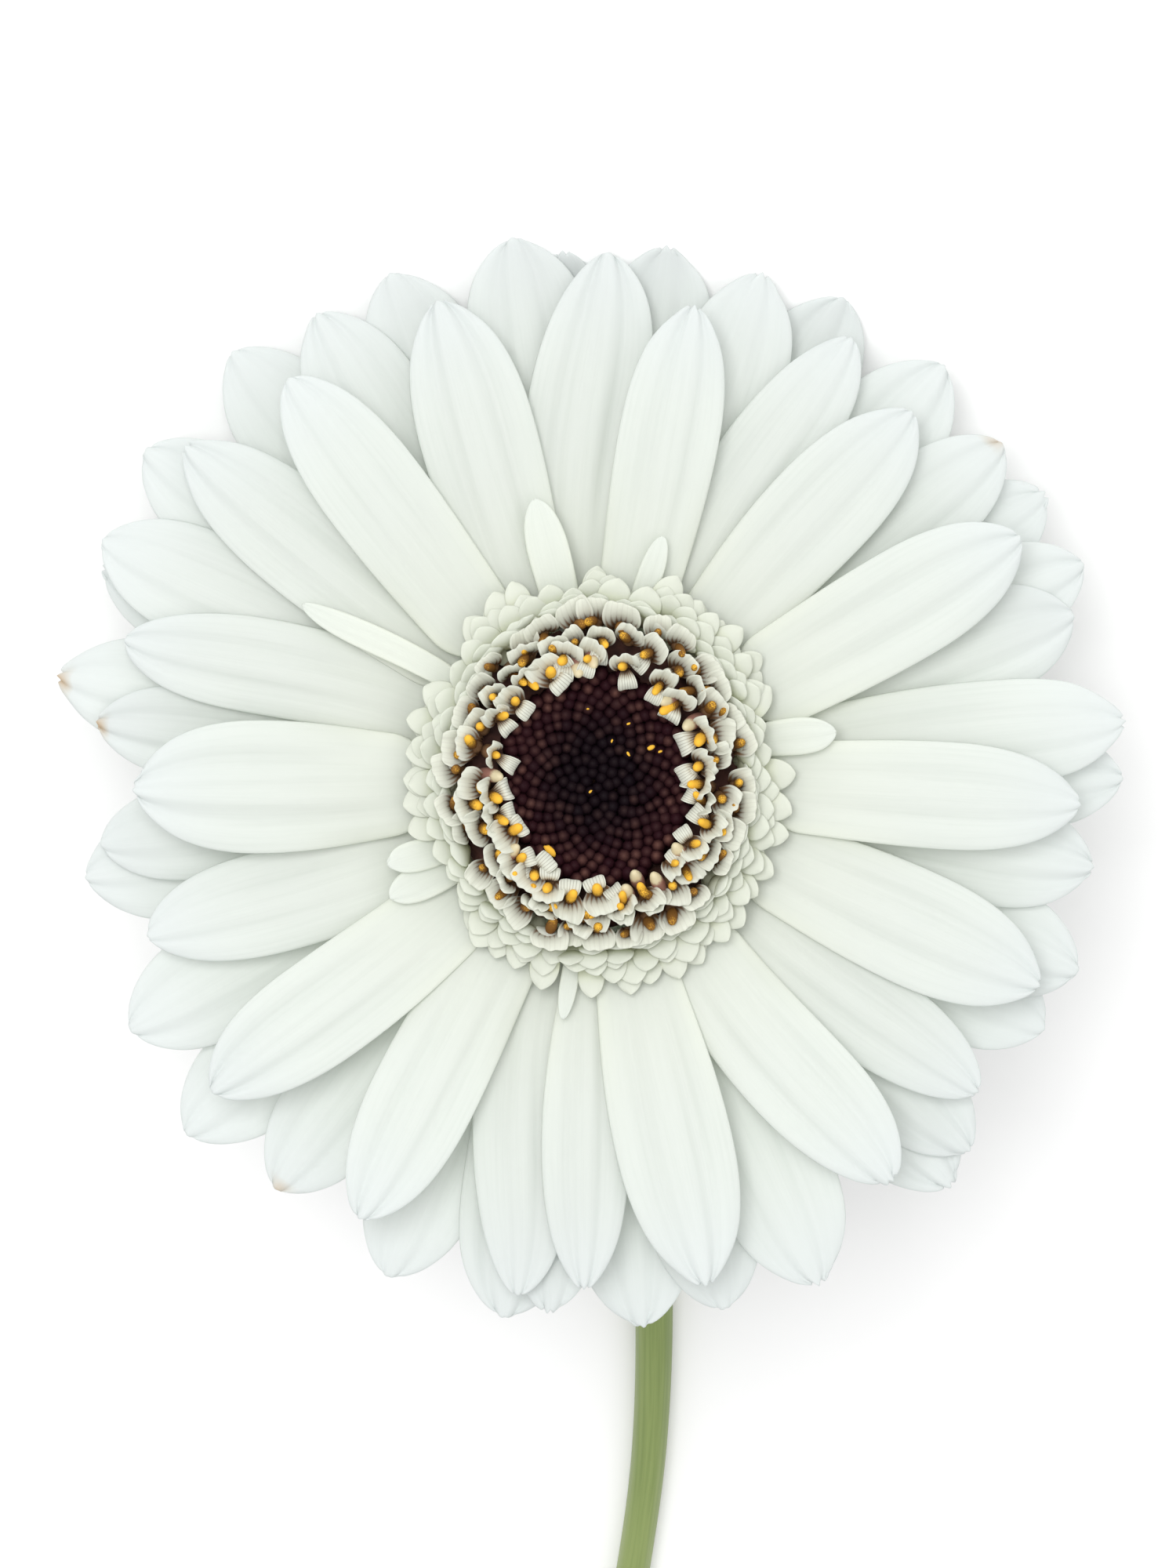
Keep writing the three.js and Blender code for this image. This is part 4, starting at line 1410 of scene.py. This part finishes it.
class GERBERA_OT_stage(bpy.types.Operator):
    """Sets the floor, the light and the camera"""

    bl_idname = "gerbera.stage"
    bl_label = "Stage"

    def execute(self, context):
        look = context.scene.gerbera_stage
        scene = context.scene
        bm = bmesh.new()
        bmesh.ops.create_grid(bm, x_segments=1, y_segments=1, size=3.0)
        mesh = bpy.data.meshes.new("floor")
        bm.to_mesh(mesh)
        bm.free()
        mesh.materials.append(floor_paper(look))
        floor = bpy.data.objects.new("floor", mesh)
        scene.collection.objects.link(floor)

        world = bpy.data.worlds.new("soft_dome")
        world.use_nodes = True
        world.node_tree.nodes.clear()
        sky = add_node(world.node_tree, "Background", {"Color": rgb("#FFFFFF"), "Strength": look.dome})
        add_node(world.node_tree, "OutputWorld", {"Surface": sky})
        scene.world = world

        # Both lights hang near the camera, so little of the flower's shade shows
        head = HEAD_CENTRE * MM
        right = Vector((1.0, 0.0, 0.0))
        up = (HEAD_TURN @ Vector((0.0, 1.0, 0.0))).normalized()
        axis = (HEAD_TURN @ Vector((0.0, 0.0, 1.0))).normalized()
        for name, power, size, place in (
            ("key", look.key, 0.45, 0.9 * axis - 0.12 * right + 0.12 * up),
            ("fill", look.fill, 0.6, 0.75 * axis + 0.45 * right - 0.2 * up),
        ):
            data = bpy.data.lights.new(name, "AREA")
            data.energy = power
            data.size = size
            lamp = bpy.data.objects.new(name, data)
            lamp.location = head + place
            lamp.rotation_euler = place.to_track_quat("Z", "Y").to_euler()
            scene.collection.objects.link(lamp)

        # The camera looks straight at the face; the picture is 1500 x 2000 pixels of 0.055 mm
        pixel = 0.055 * MM
        middle = head + axis * MM - right * 12.0 * pixel - up * 8.0 * pixel
        data = bpy.data.cameras.new("camera")
        data.sensor_fit = "HORIZONTAL"
        data.sensor_width = 36.0
        data.lens = data.sensor_width * look.distance / (1500.0 * pixel)
        data.clip_start = 0.01
        data.clip_end = 20.0
        camera = bpy.data.objects.new("camera", data)
        turn = Matrix((right, up, axis)).transposed().to_4x4()
        camera.matrix_world = Matrix.Translation(middle + axis * look.distance) @ turn
        scene.collection.objects.link(camera)
        scene.camera = camera
        scene.view_settings.view_transform = "Standard"
        return {"FINISHED"}


class GERBERA_PT_panel(bpy.types.Panel):
    """Lists the steps that build the flower"""

    bl_idname = "GERBERA_PT_panel"
    bl_label = "Mini gerbera"
    bl_space_type = "VIEW_3D"
    bl_region_type = "UI"
    bl_category = "Gerbera"

    def draw(self, context):
        for operator in OPERATORS:
            self.layout.operator(operator.bl_idname)
        for group, _ in LOOKS:
            box = self.layout.box()
            for name in getattr(context.scene, group).__annotations__:
                box.prop(getattr(context.scene, group), name)


OPERATORS = (
    GERBERA_OT_stage,
    GERBERA_OT_stalk,
    GERBERA_OT_bracts,
    GERBERA_OT_back_petals,
    GERBERA_OT_front_petals,
    GERBERA_OT_small_petals,
    GERBERA_OT_trans_florets,
    GERBERA_OT_open_florets,
    GERBERA_OT_closed_florets,
    GERBERA_OT_opening_florets,
    GERBERA_OT_pollen,
)
LOOKS = (
    ("gerbera_petals", GerberaPetalLook),
    ("gerbera_disc", GerberaDiscLook),
    ("gerbera_stalk", GerberaStalkLook),
    ("gerbera_stage", GerberaStageLook),
)


def register():
    for name, group in LOOKS:
        bpy.utils.register_class(group)
        setattr(bpy.types.Scene, name, PointerProperty(type=group))
    for kind in (*OPERATORS, GERBERA_PT_panel):
        bpy.utils.register_class(kind)


def unregister():
    for kind in (GERBERA_PT_panel, *reversed(OPERATORS)):
        bpy.utils.unregister_class(kind)
    for name, group in reversed(LOOKS):
        delattr(bpy.types.Scene, name)
        bpy.utils.unregister_class(group)


def main():
    register()
    for operator in OPERATORS:
        getattr(bpy.ops.gerbera, operator.bl_idname.removeprefix("gerbera."))()


if __name__ == "__main__":
    main()
